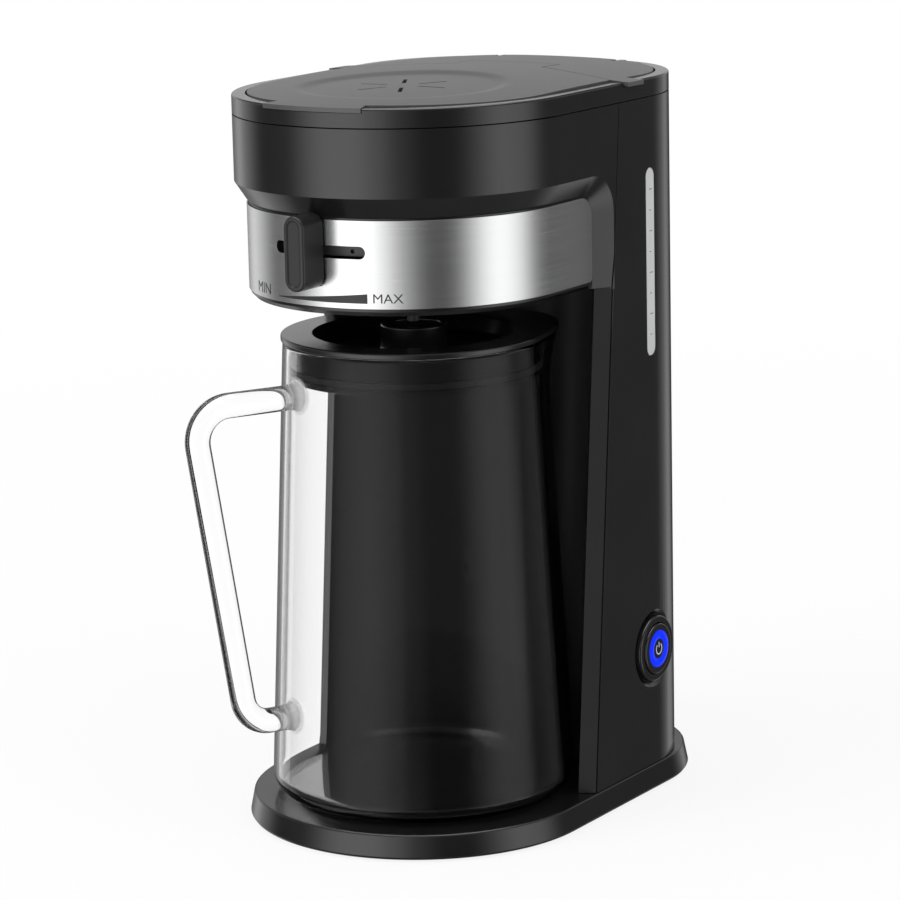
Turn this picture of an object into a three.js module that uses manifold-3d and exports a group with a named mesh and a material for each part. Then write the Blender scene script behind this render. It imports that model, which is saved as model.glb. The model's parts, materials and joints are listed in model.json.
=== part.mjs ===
// Cold brew coffee maker: a brewing head and a water tower on one base, with a glass jug between.
// Millimetres, +Z up, front towards -Y. The jug and the head share the vertical axis x = 0, y = 0
// of the working frame; the last lines move everything so that the origin is under its middle.
import * as THREE from 'three';
import { mergeVertices } from 'three/addons/utils/BufferGeometryUtils.js';
import Module from 'manifold-3d';

const wasm = await Module();
wasm.setup();

// Driving dimensions
const clearance = 0.3; // between pieces that seat on each other
const overrun = 2; // how far a cutter passes a face
const wall = 2.5; // moulded housing wall
const farAway = 400; // half size of the blocks that trim a shape

const arcSteps = 32; // facets on the half round front
const cornerSteps = 7; // facets on a rear corner
const roundSteps = 28; // facets on a turned piece
const jugSteps = 40;
const lidSteps = 32;
const domeSteps = 24;
const boreSteps = 8;

const headRadius = 77.7; // of the round front, and half the machine's width
const body = { halfWidth: headRadius, front: headRadius, rear: 138, rearRadius: headRadius - 19.2 };
const base = {
  halfWidth: body.halfWidth + 0.3, front: body.front - 0.7, rear: body.rear + 7.5,
  rearRadius: body.rearRadius - 1,
  skirtFlare: 2, footBand: 1.2, footBandInset: 0.9, edgeBevel: 0.8,
  bottom: 1, top: 11.9, topWall: 2.5, sideWall: 3,
};
const feet = {
  radius: 7, stemRadius: 2.7, stemTop: 4.2, spreadX: base.halfWidth - 23.8, frontY: 42.8 - base.front,
  rearY: base.rear - 34,
};
const basePlate = { bottom: 1.3, thickness: 2, inset: 3.4 };
const baseScrew = {
  headRadius: 3.1, headBottom: 0.5, shankRadius: 1.4, length: 7.5,
  bossRadius: 4, bossStart: 3.7, spreadX: base.halfWidth - 41.8, frontY: 27.8 - base.front,
  rearY: base.rear - 20,
};

const headUnderside = 240.6; // the jug and all that is in the head follow it
const head = { underside: headUnderside, top: headUnderside + 80.7, outletRadius: 15 };
const relief = { // the stepped-back face that carries the steel band
  depth: 6, top: head.underside + 42, chamferTop: head.underside + 51.2,
  sideEnd: 35.2, chamferSideEnd: 44.4,
  cornerRadius: 8.4, lipHeight: 2, lipTuck: 2,
};
const band = { // thin steel sheet
  standoff: 0.3, thickness: 0.5, bottom: head.underside + 3.4, top: relief.top - 0.7,
  sideEnd: relief.sideEnd - 1,
  topCorner: 8, bottomCorner: 2.5,
};
const column = { // the bay round the jug and the two flanges beside it
  frontHalf: body.halfWidth - 7.4, frontFoot: 19.4, lean: 0.0873, bayDepth: body.halfWidth - 26.7,
  flangeRun: 4,
};

const deck = {
  seam: 0.4, top: head.top + 8.7, rimWidth: 6, floorTop: head.top + 5.1,
  floorThickness: 2.4, edgeBevel: 0.8,
  basketHoleGap: 1.7, tankHoleInset: 9, tankHoleFront: body.front + 14.8,
};
const dome = {
  edge: deck.top + 0.4, rise: 3, halfWidth: body.halfWidth + 0.2, halfLength: 116, centreY: 37, skin: 2,
};
const lidSplit = { sideY: body.front - 23.7, tongueHalf: 23.3, shoulderY: body.front - 3.9, gap: 0.6 };
const lidInset = 6.9; // from the housing's outline to the lids' edge
const basketLid = {
  hingeY: body.front + 5.9, hingeZ: deck.top - 1.7, endRadius: 6.5, barrelRadius: 2.6, maxSweepGap: 0.6,
  tabAngle: 18.7, tabInner: body.front - 14.8, tabOuter: body.front + 0.8,
  dishY: -4.3, dishOuter: 47.8, dishInner: 44.2, dishDepth: 0.9,
  ventInner: 8, ventOuter: 21.8, ventWidth: 1.4, ventCount: 6,
};
const tankLid = {
  hingeY: body.rear - 11, hingeZ: deck.top - 1.3, barrelRadius: 2.4, barrelHalf: 29.8, knuckleWidth: 3.4,
  earFront: body.front - 23.2, earRear: body.front - 9.5,
  earOuter: body.halfWidth + 2.4, gutterHalf: 40.6, cornerX: 33.6, cornerRoom: 9.5, cornerRear: body.rear - 8,
};
const hingePin = { radius: 1.2, lugRadius: 1.9, lugWidth: 3 };

const jugRadius = column.frontHalf - 1.5; // stands clear in the bay
const jugRim = head.underside - 21.4;
const jug = {
  floorGap: 0.3, restRadius: jugRadius - 9.3, cornerRadius: 9, widestRadius: jugRadius,
  rimRadius: jugRadius - 10.1,
  rimTop: jugRim, thickness: 2.6, floorThickness: 3.6,
  spoutAngle: 155, spoutReach: 10.5, spoutSpread: 52, spoutStart: jugRim - 31.2,
};
const handle = {
  angle: -27, rodRadius: 5.6, topZ: jugRim - 20.2, bottomZ: base.top + 42.6,
  topReach: jugRadius + 42.4, bottomReach: jugRadius + 20.7,
  topBend: 15, bottomBend: 13, padRadius: 7.4, padLength: 4,
};
const jugLid = {
  top: jugRim + 3.1, flangeThickness: 2.7, outerRadius: jug.rimRadius + 0.8,
  ringInner: jug.rimRadius - 13.8,
  dishRadius: jug.rimRadius - 17.8,
  dishFloor: jugRim - 4.2, floorThickness: 2, collarBottom: jugRim - 16.6,
  collarRadius: jug.rimRadius - 3.4, collarWall: 2.2,
  cupRadius: 14.9, cupInner: 12, cupTop: jugRim + 6.6, drainRadius: 5, lipReach: 10.3,
};
const lidSeal = { bottom: jugLid.collarBottom + 2.9, height: 3, depth: 0.8, proud: 0.7 };

const ringRadius = body.front - relief.depth - wall - 0.5; // runs just inside the housing
const strengthRing = {
  innerRadius: ringRadius - 16.9, outerRadius: ringRadius, height: 4.6, markAngle: 12, markRadius: 1,
};
const basketRadius = strengthRing.innerRadius - 1.8; // at its bottom, inside the ring
const basket = {
  flangeRadius: basketRadius + 14, flangeThickness: 1.5, topRadius: basketRadius + 8.5,
  bottomRadius: basketRadius, floor: head.underside + 19.4,
  thickness: 2, tubeRadius: 8, tubeBore: 5.5, tubeBottom: head.underside + 6.4, seatBore: 3.6, seatThickness: 1.5,
  drainRadius: 1.3, drainCircle: 3.8, drainCount: 4,
};
const filterCup = {
  thickness: 1.2, windowCount: 8, windowAngle: 32, windowMargin: 9, meshThickness: 0.5, sideGap: 0.9,
};
const dripValve = {
  poppetRadius: 5, poppetHeight: 2.6, stemRadius: 2.8, stemBottom: jugLid.cupTop + 0.8,
  seatGap: 0.4, travel: 4,
};
const dripSpring = { coilRadius: 3.9, wireRadius: 0.45, turns: 3, sides: 4, stepsPerTurn: 9 };
const outlet = { collarRadius: 14.7, bore: 11.5, drop: 5, flangeRadius: 18, flangeThickness: 1.5 };
const waterSpout = {
  y: basket.flangeRadius + 5.5, tubeRadius: 4, bottom: head.top - 1.3, nozzleHalf: 5,
  nozzleFront: basket.flangeRadius - 14, nozzleRear: basket.flangeRadius + 9.5,
  nozzleBottom: deck.floorTop + 2.2, nozzleTop: deck.floorTop + 4.2,
};

const slot = { // degrees; its middle is a little left of the front
  angle: 18.8, turn: -1.2, height: 5.4, centreZ: head.underside + 27.5,
};
const lever = {
  width: 10.4, height: 32.5, depth: 14.6, bandGap: 1, stemWidth: 6, stemHeight: 4.2,
  centreZ: slot.centreZ + 0.5, edgeBevel: 0.9,
};

const tank = {
  bottom: head.underside - 42.6, top: deck.floorTop - deck.floorThickness - 0.3, thickness: 2,
  frontLow: column.frontFoot + column.bayDepth + 25.6, frontHigh: waterSpout.y + 10.5,
  stepZ: head.underside + 5.4,
};
const sideMiddle = body.front - 0.5; // of what the right side carries
const levelWindow = {
  y: sideMiddle + 0.1, centreZ: head.underside + 6.2, width: 8.3, height: 86, thickness: 2, sunk: 0.4,
};
const button = {
  y: sideMiddle, z: 67, recessRadius: 18.2, recessFloor: 15.8, recessDepth: 1.6,
  holeRadius: 14, bezelRadius: 15.4, bezelInner: 12.1, bezelProud: 1.4, bezelTube: 7,
  capRadius: 11.8, capProud: 2.7, capDepth: 7.5, capCrown: 0.5, travel: 2, stemRadius: 4, stemLength: 1.8,
  lightOuter: 9.4, lightInner: 5, lightDepth: 1.4,
};
const switchBox = { depth: 13, halfWidth: 8, halfHeight: 9 };
const gland = { z: 30, flangeRadius: 8, flangeThickness: 2.5, tubeRadius: 5.2, bore: 3, inside: 4 };

const heater = {
  radius: 6, z: 34, frontY: tank.frontLow - 2, rearY: body.rear - 18, leftX: -36, rightX: 22, stubTop: 56,
};
const bracket = { halfX: 20, ribX: 16, plate: 2, rib: 3, margin: 4 };
const thermostat = { radius: 7, height: 5, x: 4 };
const thermalFuse = { radius: 2.5, halfLength: 8, x: 4 };
const checkValve = { radius: 7.5, height: 14 };
const hose = { radius: 5.4, sides: 8, stubLength: 8, stubRadius: 4.5 };
const riser = {
  radius: 4.2, columnX: 19.8 - body.halfWidth, columnY: waterSpout.y + 5, lowBendZ: 76,
  crossZ: head.top - 17.3, bend: 9,
};

// Materials
const material = (color, roughness, metalness = 0, extra = {}) =>
  new THREE.MeshStandardMaterial({ color, roughness, metalness, ...extra });
const blackGloss = material(0x1b1c1e, 0.25);
const blackMatte = material(0x2b2c2e, 0.55);
const darkInner = material(0x3a3b3e, 0.6);
const steel = material(0xb9babb, 0.3, 1);
const glass = material(0xdfe9ea, 0.05, 0, { transparent: true, opacity: 0.35 });
const frosted = material(0xc9cdd0, 0.4, 0, { transparent: true, opacity: 0.7 });
const rubber = material(0x161617, 0.9);
const blueLight = material(0x1030ff, 0.4, 0, { emissive: 0x1030ff });
const aluminium = material(0xa6a8aa, 0.45, 1);
const silicone = material(0xd8d8d2, 0.6);
const mesh = material(0x9a9c9e, 0.4, 1);

const degrees = THREE.MathUtils.degToRad;
const middle = (a, b) => (a + b) / 2;

// Geometry helpers
function signedVolume(position, index) {
  const a = new THREE.Vector3();
  const b = new THREE.Vector3();
  const c = new THREE.Vector3();
  let six = 0;
  for (let i = 0; i < index.length; i += 3) {
    a.fromBufferAttribute(position, index[i]);
    b.fromBufferAttribute(position, index[i + 1]);
    c.fromBufferAttribute(position, index[i + 2]);
    six += a.dot(b.cross(c));
  }
  return six;
}

// Welds a geometry's vertices, drops its empty triangles and turns its faces outwards.
function welded(geometry) {
  const plain = geometry.clone();
  plain.deleteAttribute('normal');
  plain.deleteAttribute('uv');
  const joined = mergeVertices(plain);
  const index = [];
  const source = joined.index.array;
  for (let i = 0; i < source.length; i += 3) {
    const [a, b, c] = [source[i], source[i + 1], source[i + 2]];
    if (a !== b && b !== c && c !== a) index.push(a, b, c);
  }
  if (signedVolume(joined.attributes.position, index) < 0) index.reverse();
  joined.setIndex(index);
  return joined;
}

function solid(geometry) {
  const joined = welded(geometry);
  return new wasm.Manifold(new wasm.Mesh({
    numProp: 3,
    vertProperties: new Float32Array(joined.attributes.position.array),
    triVerts: new Uint32Array(joined.index.array),
  }));
}

function geometryOf(shape) {
  const made = shape.getMesh();
  const geometry = new THREE.BufferGeometry();
  geometry.setAttribute('position', new THREE.BufferAttribute(made.vertProperties, made.numProp));
  geometry.setIndex(new THREE.BufferAttribute(made.triVerts, 1));
  return geometry;
}

const joinAll = (shapes) => shapes.reduce((whole, shape) => whole.add(shape));
const cutAll = (shape, tools) => tools.reduce((rest, tool) => rest.subtract(tool), shape);

// A closed skin through sections of equal point count; place() puts a section's point in space.
function loft(sections, place) {
  const count = sections[0].length;
  const positions = [];
  const index = [];
  sections.forEach((section, level) => section.forEach((point) => {
    positions.push(...place(point, level).toArray());
  }));
  for (let level = 0; level < sections.length - 1; level += 1) {
    for (let i = 0; i < count; i += 1) {
      const a = level * count + i;
      const b = level * count + ((i + 1) % count);
      index.push(a, b, b + count, a, b + count, a + count);
    }
  }
  const top = (sections.length - 1) * count;
  THREE.ShapeUtils.triangulateShape(sections[0], []).forEach(([a, b, c]) => index.push(c, b, a));
  THREE.ShapeUtils.triangulateShape(sections.at(-1), [])
    .forEach(([a, b, c]) => index.push(top + a, top + b, top + c));
  const geometry = new THREE.BufferGeometry();
  geometry.setAttribute('position', new THREE.Float32BufferAttribute(positions, 3));
  geometry.setIndex(index);
  return geometry;
}

// A plan outline stack: each level has a height and the outline there.
const stack = (levels) => solid(loft(
  levels.map((level) => level.outline),
  (point, i) => new THREE.Vector3(point.x, point.y + (levels[i].shiftY ?? 0), levels[i].z),
));

const slab = (outline, low, high) => stack([{ z: low, outline }, { z: high, outline }]);

function block(x0, x1, y0, y1, z0, z1) {
  const geometry = new THREE.BoxGeometry(x1 - x0, y1 - y0, z1 - z0);
  geometry.translate(middle(x0, x1), middle(y0, y1), middle(z0, z1));
  return solid(geometry);
}

// Turned about +Z; the profile holds [radius, height] pairs.
function turnedGeometry(profile, steps = roundSteps) {
  const points = profile.map(([radius, height]) => new THREE.Vector2(radius, height));
  const geometry = new THREE.LatheGeometry(points, steps);
  geometry.rotateX(Math.PI / 2);
  return geometry;
}
const turned = (profile, steps) => solid(turnedGeometry(profile, steps));
const rod = (radius, low, high, steps) => turned([[0, low], [radius, low], [radius, high], [0, high]], steps);
const washer = (inner, outer, low, high, steps) =>
  turned([[inner, low], [outer, low], [outer, high], [inner, high], [inner, low]], steps);

// The same about +X or +Y, through a point.
const turnedAlongX = (profile, y, z, steps) => {
  const geometry = turnedGeometry(profile, steps);
  geometry.rotateY(Math.PI / 2);
  geometry.translate(0, y, z);
  return solid(geometry);
};
const rodAlongX = (radius, x0, x1, y, z, steps) =>
  turnedAlongX([[0, x0], [radius, x0], [radius, x1], [0, x1]], y, z, steps);
const turnedAlongY = (profile, x, z) => {
  const geometry = turnedGeometry(profile);
  geometry.rotateX(-Math.PI / 2);
  geometry.translate(x, 0, z);
  return solid(geometry);
};

function arcPoints(centreX, centreY, radius, from, to, steps) {
  return Array.from({ length: steps + 1 }, (_, i) => {
    const angle = from + ((to - from) * i) / steps;
    return new THREE.Vector2(centreX + radius * Math.cos(angle), centreY + radius * Math.sin(angle));
  });
}

// Half round in front, straight sides, round rear corners, counter-clockwise from the left side.
function planOutline(plan, inset = 0) {
  const width = plan.halfWidth - inset;
  const front = plan.front - inset;
  const radius = plan.rearRadius - inset;
  const cornerY = plan.rear - plan.rearRadius;
  const nose = arcPoints(0, 0, 1, Math.PI, 2 * Math.PI, arcSteps)
    .map((point) => new THREE.Vector2(point.x * width, point.y * front));
  const right = arcPoints(width - radius, cornerY, radius, 0, Math.PI / 2, cornerSteps);
  const left = arcPoints(radius - width, cornerY, radius, Math.PI / 2, Math.PI, cornerSteps);
  return [...nose, ...right, ...left];
}

// Angles here are measured from the front, -Y, towards the right side, +X.
const aroundFront = (radius, angle) =>
  new THREE.Vector2(radius * Math.sin(angle), -radius * Math.cos(angle));

function frontSector(inner, outer, halfAngle, low, high, turn = 0) {
  const steps = 12;
  const spread = Array.from({ length: steps + 1 }, (_, i) => turn + halfAngle * ((2 * i) / steps - 1));
  const outside = spread.map((angle) => aroundFront(outer, angle));
  const inside = spread.map((angle) => aroundFront(inner, angle)).reverse();
  return slab([...outside, ...inside], low, high);
}

// The lever's slot: a band of the round front with round ends.
function slotCutter(margin) {
  const half = slot.height / 2 + margin;
  const reach = degrees(slot.angle) - (slot.height / 2) / body.front;
  const inner = body.front - relief.depth - wall - overrun;
  const outer = body.front + overrun;
  const turn = degrees(slot.turn);
  const run = frontSector(inner, outer, reach, slot.centreZ - half, slot.centreZ + half, turn);
  const ends = [-1, 1].map((side) => {
    const geometry = new THREE.CylinderGeometry(half, half, outer - inner, 16);
    geometry.translate(0, -middle(inner, outer), 0);
    geometry.rotateZ(side * reach + turn);
    geometry.translate(0, 0, slot.centreZ);
    return solid(geometry);
  });
  return joinAll([run, ...ends]);
}

// A rounded rectangle, counter-clockwise; radii run bottom right, top right, top left, bottom left.
function roundedRectangle(x0, x1, y0, y1, radii, steps = 6) {
  const [bottomRight, topRight, topLeft, bottomLeft] = radii;
  const quarter = Math.PI / 2;
  const corner = (x, y, radius, turn) => (radius > 0
    ? arcPoints(x, y, radius, turn * quarter, (turn + 1) * quarter, steps)
    : [new THREE.Vector2(x, y)]);
  return [
    ...corner(x1 - bottomRight, y0 + bottomRight, bottomRight, 3),
    ...corner(x1 - topRight, y1 - topRight, topRight, 0),
    ...corner(x0 + topLeft, y1 - topLeft, topLeft, 1),
    ...corner(x0 + bottomLeft, y0 + bottomLeft, bottomLeft, 2),
  ];
}

// Head relief: everything that the band's seat takes off the housing, grown inwards by a wall.
function reliefCutter(grow) {
  const slope = relief.depth / (relief.chamferTop - relief.top);
  const core = stack([
    { z: head.underside - overrun, outline: planOutline(body, relief.depth + relief.lipTuck + grow) },
    { z: head.underside, outline: planOutline(body, relief.depth + relief.lipTuck + grow) },
    { z: head.underside + relief.lipHeight, outline: planOutline(body, relief.depth + grow) },
    { z: relief.top, outline: planOutline(body, relief.depth + grow) },
    { z: relief.chamferTop + overrun, outline: planOutline(body, grow - slope * overrun) },
  ]);
  const low = head.underside - overrun / 2;
  const nose = block(-farAway, farAway, -farAway, overrun, low, relief.chamferTop + overrun / 2);
  const lipZone = block(-farAway, farAway, 0, relief.sideEnd, low, head.underside + relief.lipHeight);
  return joinAll([nose.add(lipZone).subtract(core), sideRelief(1, grow), sideRelief(-1, grow)]);
}

// The relief's end on one straight side: a chamfered edge with a round upper corner.
function sideRelief(side, grow) {
  const run = relief.chamferSideEnd - relief.sideEnd;
  const rise = relief.chamferTop - relief.top;
  const beyond = overrun / relief.depth;
  const low = head.underside - overrun / 2;
  const section = (share) => roundedRectangle(
    0, relief.sideEnd + run * share, low, relief.top + rise * share,
    [0, relief.cornerRadius + rise * share, 0, 0],
  );
  const seat = body.halfWidth - relief.depth - grow;
  const depths = [seat, seat + relief.depth, seat + relief.depth + overrun];
  const sections = [section(0), section(1), section(1 + beyond)];
  return solid(loft(sections, (point, i) => new THREE.Vector3(side * depths[i], point.x, point.y)));
}

// How far back the tower's front has moved at a height, because it leans.
const leanAt = (z) => column.lean * (z - base.top - clearance);

// The room in front of the tower, as a leaning prism: bay, flange faces and all that lies before them.
function bayCutter(grow, top) {
  const radius = (column.frontHalf ** 2 + column.bayDepth ** 2) / (2 * column.bayDepth);
  const centreY = column.frontFoot + column.bayDepth - radius;
  const edgeY = centreY + Math.sqrt((radius + grow) ** 2 - column.frontHalf ** 2);
  const outerX = body.halfWidth;
  const halfAngle = Math.asin(column.frontHalf / (radius + grow));
  const arc = arcPoints(0, centreY, radius + grow, Math.PI / 2 - halfAngle, Math.PI / 2 + halfAngle, 24);
  const outline = [
    new THREE.Vector2(-farAway, -farAway),
    new THREE.Vector2(farAway, -farAway),
    new THREE.Vector2(farAway, edgeY + column.flangeRun),
    new THREE.Vector2(outerX, edgeY + column.flangeRun),
    ...arc,
    new THREE.Vector2(-outerX, edgeY + column.flangeRun),
    new THREE.Vector2(-farAway, edgeY + column.flangeRun),
  ];
  const bottom = base.top - overrun;
  return stack([
    { z: bottom, outline, shiftY: leanAt(bottom) },
    { z: top, outline, shiftY: leanAt(top) },
  ]);
}

// Everything in front of the seam between the front and the rear housing.
function frontOfSeam(shift) {
  const seamY = column.frontFoot + column.flangeRun + shift;
  const outline = roundedRectangle(-farAway, farAway, -farAway, seamY, [0, 0, 0, 0]);
  const bottom = base.top - overrun;
  const top = head.top + overrun;
  return stack([
    { z: bottom, outline, shiftY: leanAt(bottom) },
    { z: top, outline, shiftY: leanAt(top) },
  ]);
}

// Base
function baseShell() {
  const skirt = planOutline(base, -base.skirtFlare);
  const outer = stack([
    { z: base.bottom, outline: planOutline(base, base.footBandInset - base.skirtFlare) },
    { z: base.bottom + base.footBand, outline: skirt },
    { z: base.top - base.edgeBevel, outline: planOutline(base) },
    { z: base.top, outline: planOutline(base, base.edgeBevel) },
  ]);
  const ceiling = base.top - base.topWall;
  const hollow = slab(planOutline(base, base.sideWall - base.skirtFlare / 2), 0, ceiling);
  const bosses = baseScrewPlaces().map(([x, y]) => {
    const boss = rod(baseScrew.bossRadius, baseScrew.bossStart, ceiling + overrun / 2, boreSteps * 2);
    return placed(boss, x, y);
  });
  const bores = baseScrewPlaces().map(([x, y]) => {
    const boreTop = baseScrew.headBottom + baseScrew.length + clearance;
    return placed(rod(baseScrew.shankRadius + clearance, 0, boreTop, boreSteps), x, y);
  });
  return cutAll(joinAll([outer.subtract(hollow), ...bosses]), bores);
}

const baseScrewPlaces = () => [
  [-baseScrew.spreadX, baseScrew.frontY], [baseScrew.spreadX, baseScrew.frontY],
  [-baseScrew.spreadX, baseScrew.rearY], [baseScrew.spreadX, baseScrew.rearY],
];
const footPlaces = () => [
  ['front_left', -feet.spreadX, feet.frontY], ['front_right', feet.spreadX, feet.frontY],
  ['rear_left', -feet.spreadX, feet.rearY], ['rear_right', feet.spreadX, feet.rearY],
];

const placed = (shape, x, y, z = 0) => {
  const geometry = geometryOf(shape);
  geometry.translate(x, y, z);
  return solid(geometry);
};

function bottomPlate() {
  const inset = basePlate.inset - base.skirtFlare / 2;
  const plate = slab(planOutline(base, inset), basePlate.bottom, basePlate.bottom + basePlate.thickness);
  const holes = [
    ...baseScrewPlaces().map(([x, y]) => placed(rod(baseScrew.shankRadius + clearance, 0, farAway, boreSteps), x, y)),
    ...footPlaces().map(([, x, y]) => placed(rod(feet.stemRadius + clearance, 0, farAway, boreSteps), x, y)),
  ];
  return cutAll(plate, holes);
}

const footShape = () => turned([
  [0, 0], [feet.radius, 0], [feet.radius, base.bottom], [feet.stemRadius, base.bottom],
  [feet.stemRadius, feet.stemTop], [0, feet.stemTop],
], boreSteps * 2);

const baseScrewShape = () => turned([
  [0, baseScrew.headBottom], [baseScrew.headRadius, baseScrew.headBottom],
  [baseScrew.headRadius, basePlate.bottom - clearance], [baseScrew.shankRadius, basePlate.bottom - clearance],
  [baseScrew.shankRadius, baseScrew.headBottom + baseScrew.length],
  [0, baseScrew.headBottom + baseScrew.length],
], boreSteps);

// Housings
function frontHousing() {
  const bottom = base.top + clearance;
  const kept = frontOfSeam(-clearance / 2)
    .add(slab(planOutline(body, wall + clearance), bottom - overrun, head.top + overrun));
  const envelope = slab(planOutline(body), bottom, head.top).intersect(kept)
    .subtract(reliefCutter(0)).subtract(bayCutter(0, head.underside));
  const cavity = slab(planOutline(body, wall), bottom - overrun, head.top + overrun)
    .subtract(reliefCutter(wall)).subtract(bayCutter(wall, head.underside + wall));
  const outletHole = rod(head.outletRadius, head.underside - overrun, head.underside + wall + overrun);
  return cutAll(envelope, [cavity, slotCutter(clearance), outletHole]);
}

function rearHousing() {
  const bottom = base.top + clearance;
  const shell = slab(planOutline(body), bottom, head.top)
    .subtract(slab(planOutline(body, wall), bottom - overrun, head.top + overrun));
  const recess = turnedAlongX([
    [0, body.halfWidth - button.recessDepth], [button.recessFloor, body.halfWidth - button.recessDepth],
    [button.recessRadius, body.halfWidth], [button.recessRadius, body.halfWidth + overrun],
    [0, body.halfWidth + overrun],
  ], button.y, button.z);
  const buttonHole = rodAlongX(button.holeRadius, body.halfWidth - farAway / 4, farAway, button.y, button.z);
  const windowHole = windowShape(0, body.halfWidth - wall - overrun, body.halfWidth + overrun);
  const glandHole = turnedAlongY([
    [0, body.rear - wall - overrun], [gland.tubeRadius + clearance, body.rear - wall - overrun],
    [gland.tubeRadius + clearance, body.rear + overrun], [0, body.rear + overrun],
  ], 0, gland.z);
  return cutAll(shell, [frontOfSeam(clearance / 2), reliefCutter(0), recess, buttonHole, windowHole, glandHole]);
}

function windowShape(inset, x0, x1) {
  const half = levelWindow.width / 2 - inset;
  const tall = levelWindow.height / 2 - inset;
  const outline = roundedRectangle(
    levelWindow.y - half, levelWindow.y + half,
    levelWindow.centreZ - tall, levelWindow.centreZ + tall, [half, half, half, half],
  );
  const depths = [x0, x1];
  return solid(loft([outline, outline], (point, i) => new THREE.Vector3(depths[i], point.x, point.y)));
}

function steelBand() {
  const inner = relief.depth - band.standoff;
  const outer = inner - band.thickness;
  const ring = slab(planOutline(body, outer), band.bottom, band.top)
    .subtract(slab(planOutline(body, inner), band.bottom - overrun, band.top + overrun));
  const profile = roundedRectangle(
    -farAway, band.sideEnd, band.bottom, band.top, [band.bottomCorner, band.topCorner, 0, 0],
  );
  const ends = [-farAway, farAway];
  const side = solid(loft([profile, profile], (point, i) => new THREE.Vector3(ends[i], point.x, point.y)));
  return ring.intersect(side).subtract(slotCutter(0));
}

// Deck, the top ring that carries both lids
function topDeck() {
  const bottom = head.top + deck.seam;
  const floorBottom = deck.floorTop - deck.floorThickness;
  const outer = stack([
    { z: bottom, outline: planOutline(body) },
    { z: deck.top - deck.edgeBevel, outline: planOutline(body) },
    { z: deck.top, outline: planOutline(body, deck.edgeBevel) },
  ]);
  const lidWell = slab(planOutline(body, deck.rimWidth), deck.floorTop, deck.top + overrun);
  const underside = slab(planOutline(body, wall), bottom - overrun, floorBottom);
  const basketHole = rod(basket.topRadius + deck.basketHoleGap, bottom - overrun, deck.top + overrun);
  const tankArea = block(-farAway, farAway, deck.tankHoleFront, farAway, bottom - overrun, deck.top + overrun);
  const tankHole = slab(planOutline(body, deck.tankHoleInset), bottom - overrun, deck.top + overrun)
    .intersect(tankArea);
  const shape = cutAll(outer, [lidWell, underside, basketHole, tankHole, ...lidSwingRooms()]);
  return cutAll(joinAll([shape, ...deckLugs()]), [...lidNotches(), ...hingeBores(), spoutHole()]);
}

// Room in the deck's floor for the edges that swing down behind each hinge.
function lidSwingRooms() {
  const low = head.top;
  const high = deck.floorTop + overrun / 4;
  const half = lidSplit.tongueHalf + lidSplit.gap;
  const sweep = basketLid.endRadius + basketLid.maxSweepGap;
  const tongueRoom = block(-half, half, basketLid.hingeY - sweep, deck.tankHoleFront + overrun, low, high);
  const gutter = block(-tankLid.gutterHalf, tankLid.gutterHalf, deck.tankHoleFront, farAway, low, high)
    .intersect(slab(planOutline(body, deck.rimWidth + clearance / 2), low - overrun, high + overrun));
  return [tongueRoom, gutter];
}

function deckLugs() {
  const inner = lidSplit.tongueHalf + lidSplit.gap + clearance / 2;
  const outer = inner + hingePin.lugWidth;
  const basketLugs = [[inner, outer], [-outer, -inner]].map(([x0, x1]) => {
    const post = block(
      x0, x1, basketLid.hingeY - hingePin.lugRadius, basketLid.hingeY + hingePin.lugRadius,
      deck.floorTop - overrun / 2, basketLid.hingeZ,
    );
    return post.add(rodAlongX(hingePin.lugRadius, x0, x1, basketLid.hingeY, basketLid.hingeZ, 16));
  });
  const knuckleInner = tankLid.barrelHalf + clearance;
  const knuckleOuter = knuckleInner + tankLid.knuckleWidth;
  const rimInside = slab(planOutline(body, deck.rimWidth / 2), head.top, deck.top);
  const tankLugs = [[knuckleInner, knuckleOuter], [-knuckleOuter, -knuckleInner]].map(([x0, x1]) => {
    const arm = block(
      x0, x1, tankLid.hingeY, farAway, tankLid.hingeZ - hingePin.lugRadius, tankLid.hingeZ + hingePin.lugRadius,
    ).intersect(rimInside);
    return arm.add(rodAlongX(hingePin.lugRadius, x0, x1, tankLid.hingeY, tankLid.hingeZ, 16));
  });
  return [...basketLugs, ...tankLugs];
}

// Notches in the rim where the lids' finger tabs reach over it, and where the rear lid's corners swing.
function lidNotches() {
  const low = dome.edge - dome.skin - clearance;
  const tab = frontSector(
    basketLid.tabInner, body.front + overrun, degrees(basketLid.tabAngle) + clearance / body.front,
    low, deck.top + overrun,
  );
  const ears = [1, -1].map((side) => earBlock(side, clearance, low - clearance, deck.top + overrun));
  const rearCorners = [1, -1].map((side) => {
    const x = [side * tankLid.cornerX, side * (tankLid.cornerX + tankLid.cornerRoom)];
    return block(
      Math.min(...x), Math.max(...x), deck.tankHoleFront, tankLid.cornerRear,
      deck.floorTop + clearance, deck.top + overrun,
    );
  });
  return [tab, ...ears, ...rearCorners];
}

function earBlock(side, grow, low, high) {
  const x = [side * (body.halfWidth - lidInset - overrun), side * (tankLid.earOuter + grow)];
  return block(
    Math.min(...x), Math.max(...x), tankLid.earFront - grow, tankLid.earRear + grow, low, high,
  );
}

function hingeBores() {
  const radius = hingePin.radius + clearance;
  return [
    rodAlongX(radius, -farAway / 4, farAway / 4, basketLid.hingeY, basketLid.hingeZ, 12)
      .intersect(block(-pinHalf(basketLid) - clearance, pinHalf(basketLid) + clearance, ...wideBox())),
    rodAlongX(radius, -farAway / 4, farAway / 4, tankLid.hingeY, tankLid.hingeZ, 12)
      .intersect(block(-pinHalf(tankLid) - clearance, pinHalf(tankLid) + clearance, ...wideBox())),
  ];
}
const wideBox = () => [-farAway, farAway, -farAway, farAway];

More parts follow.
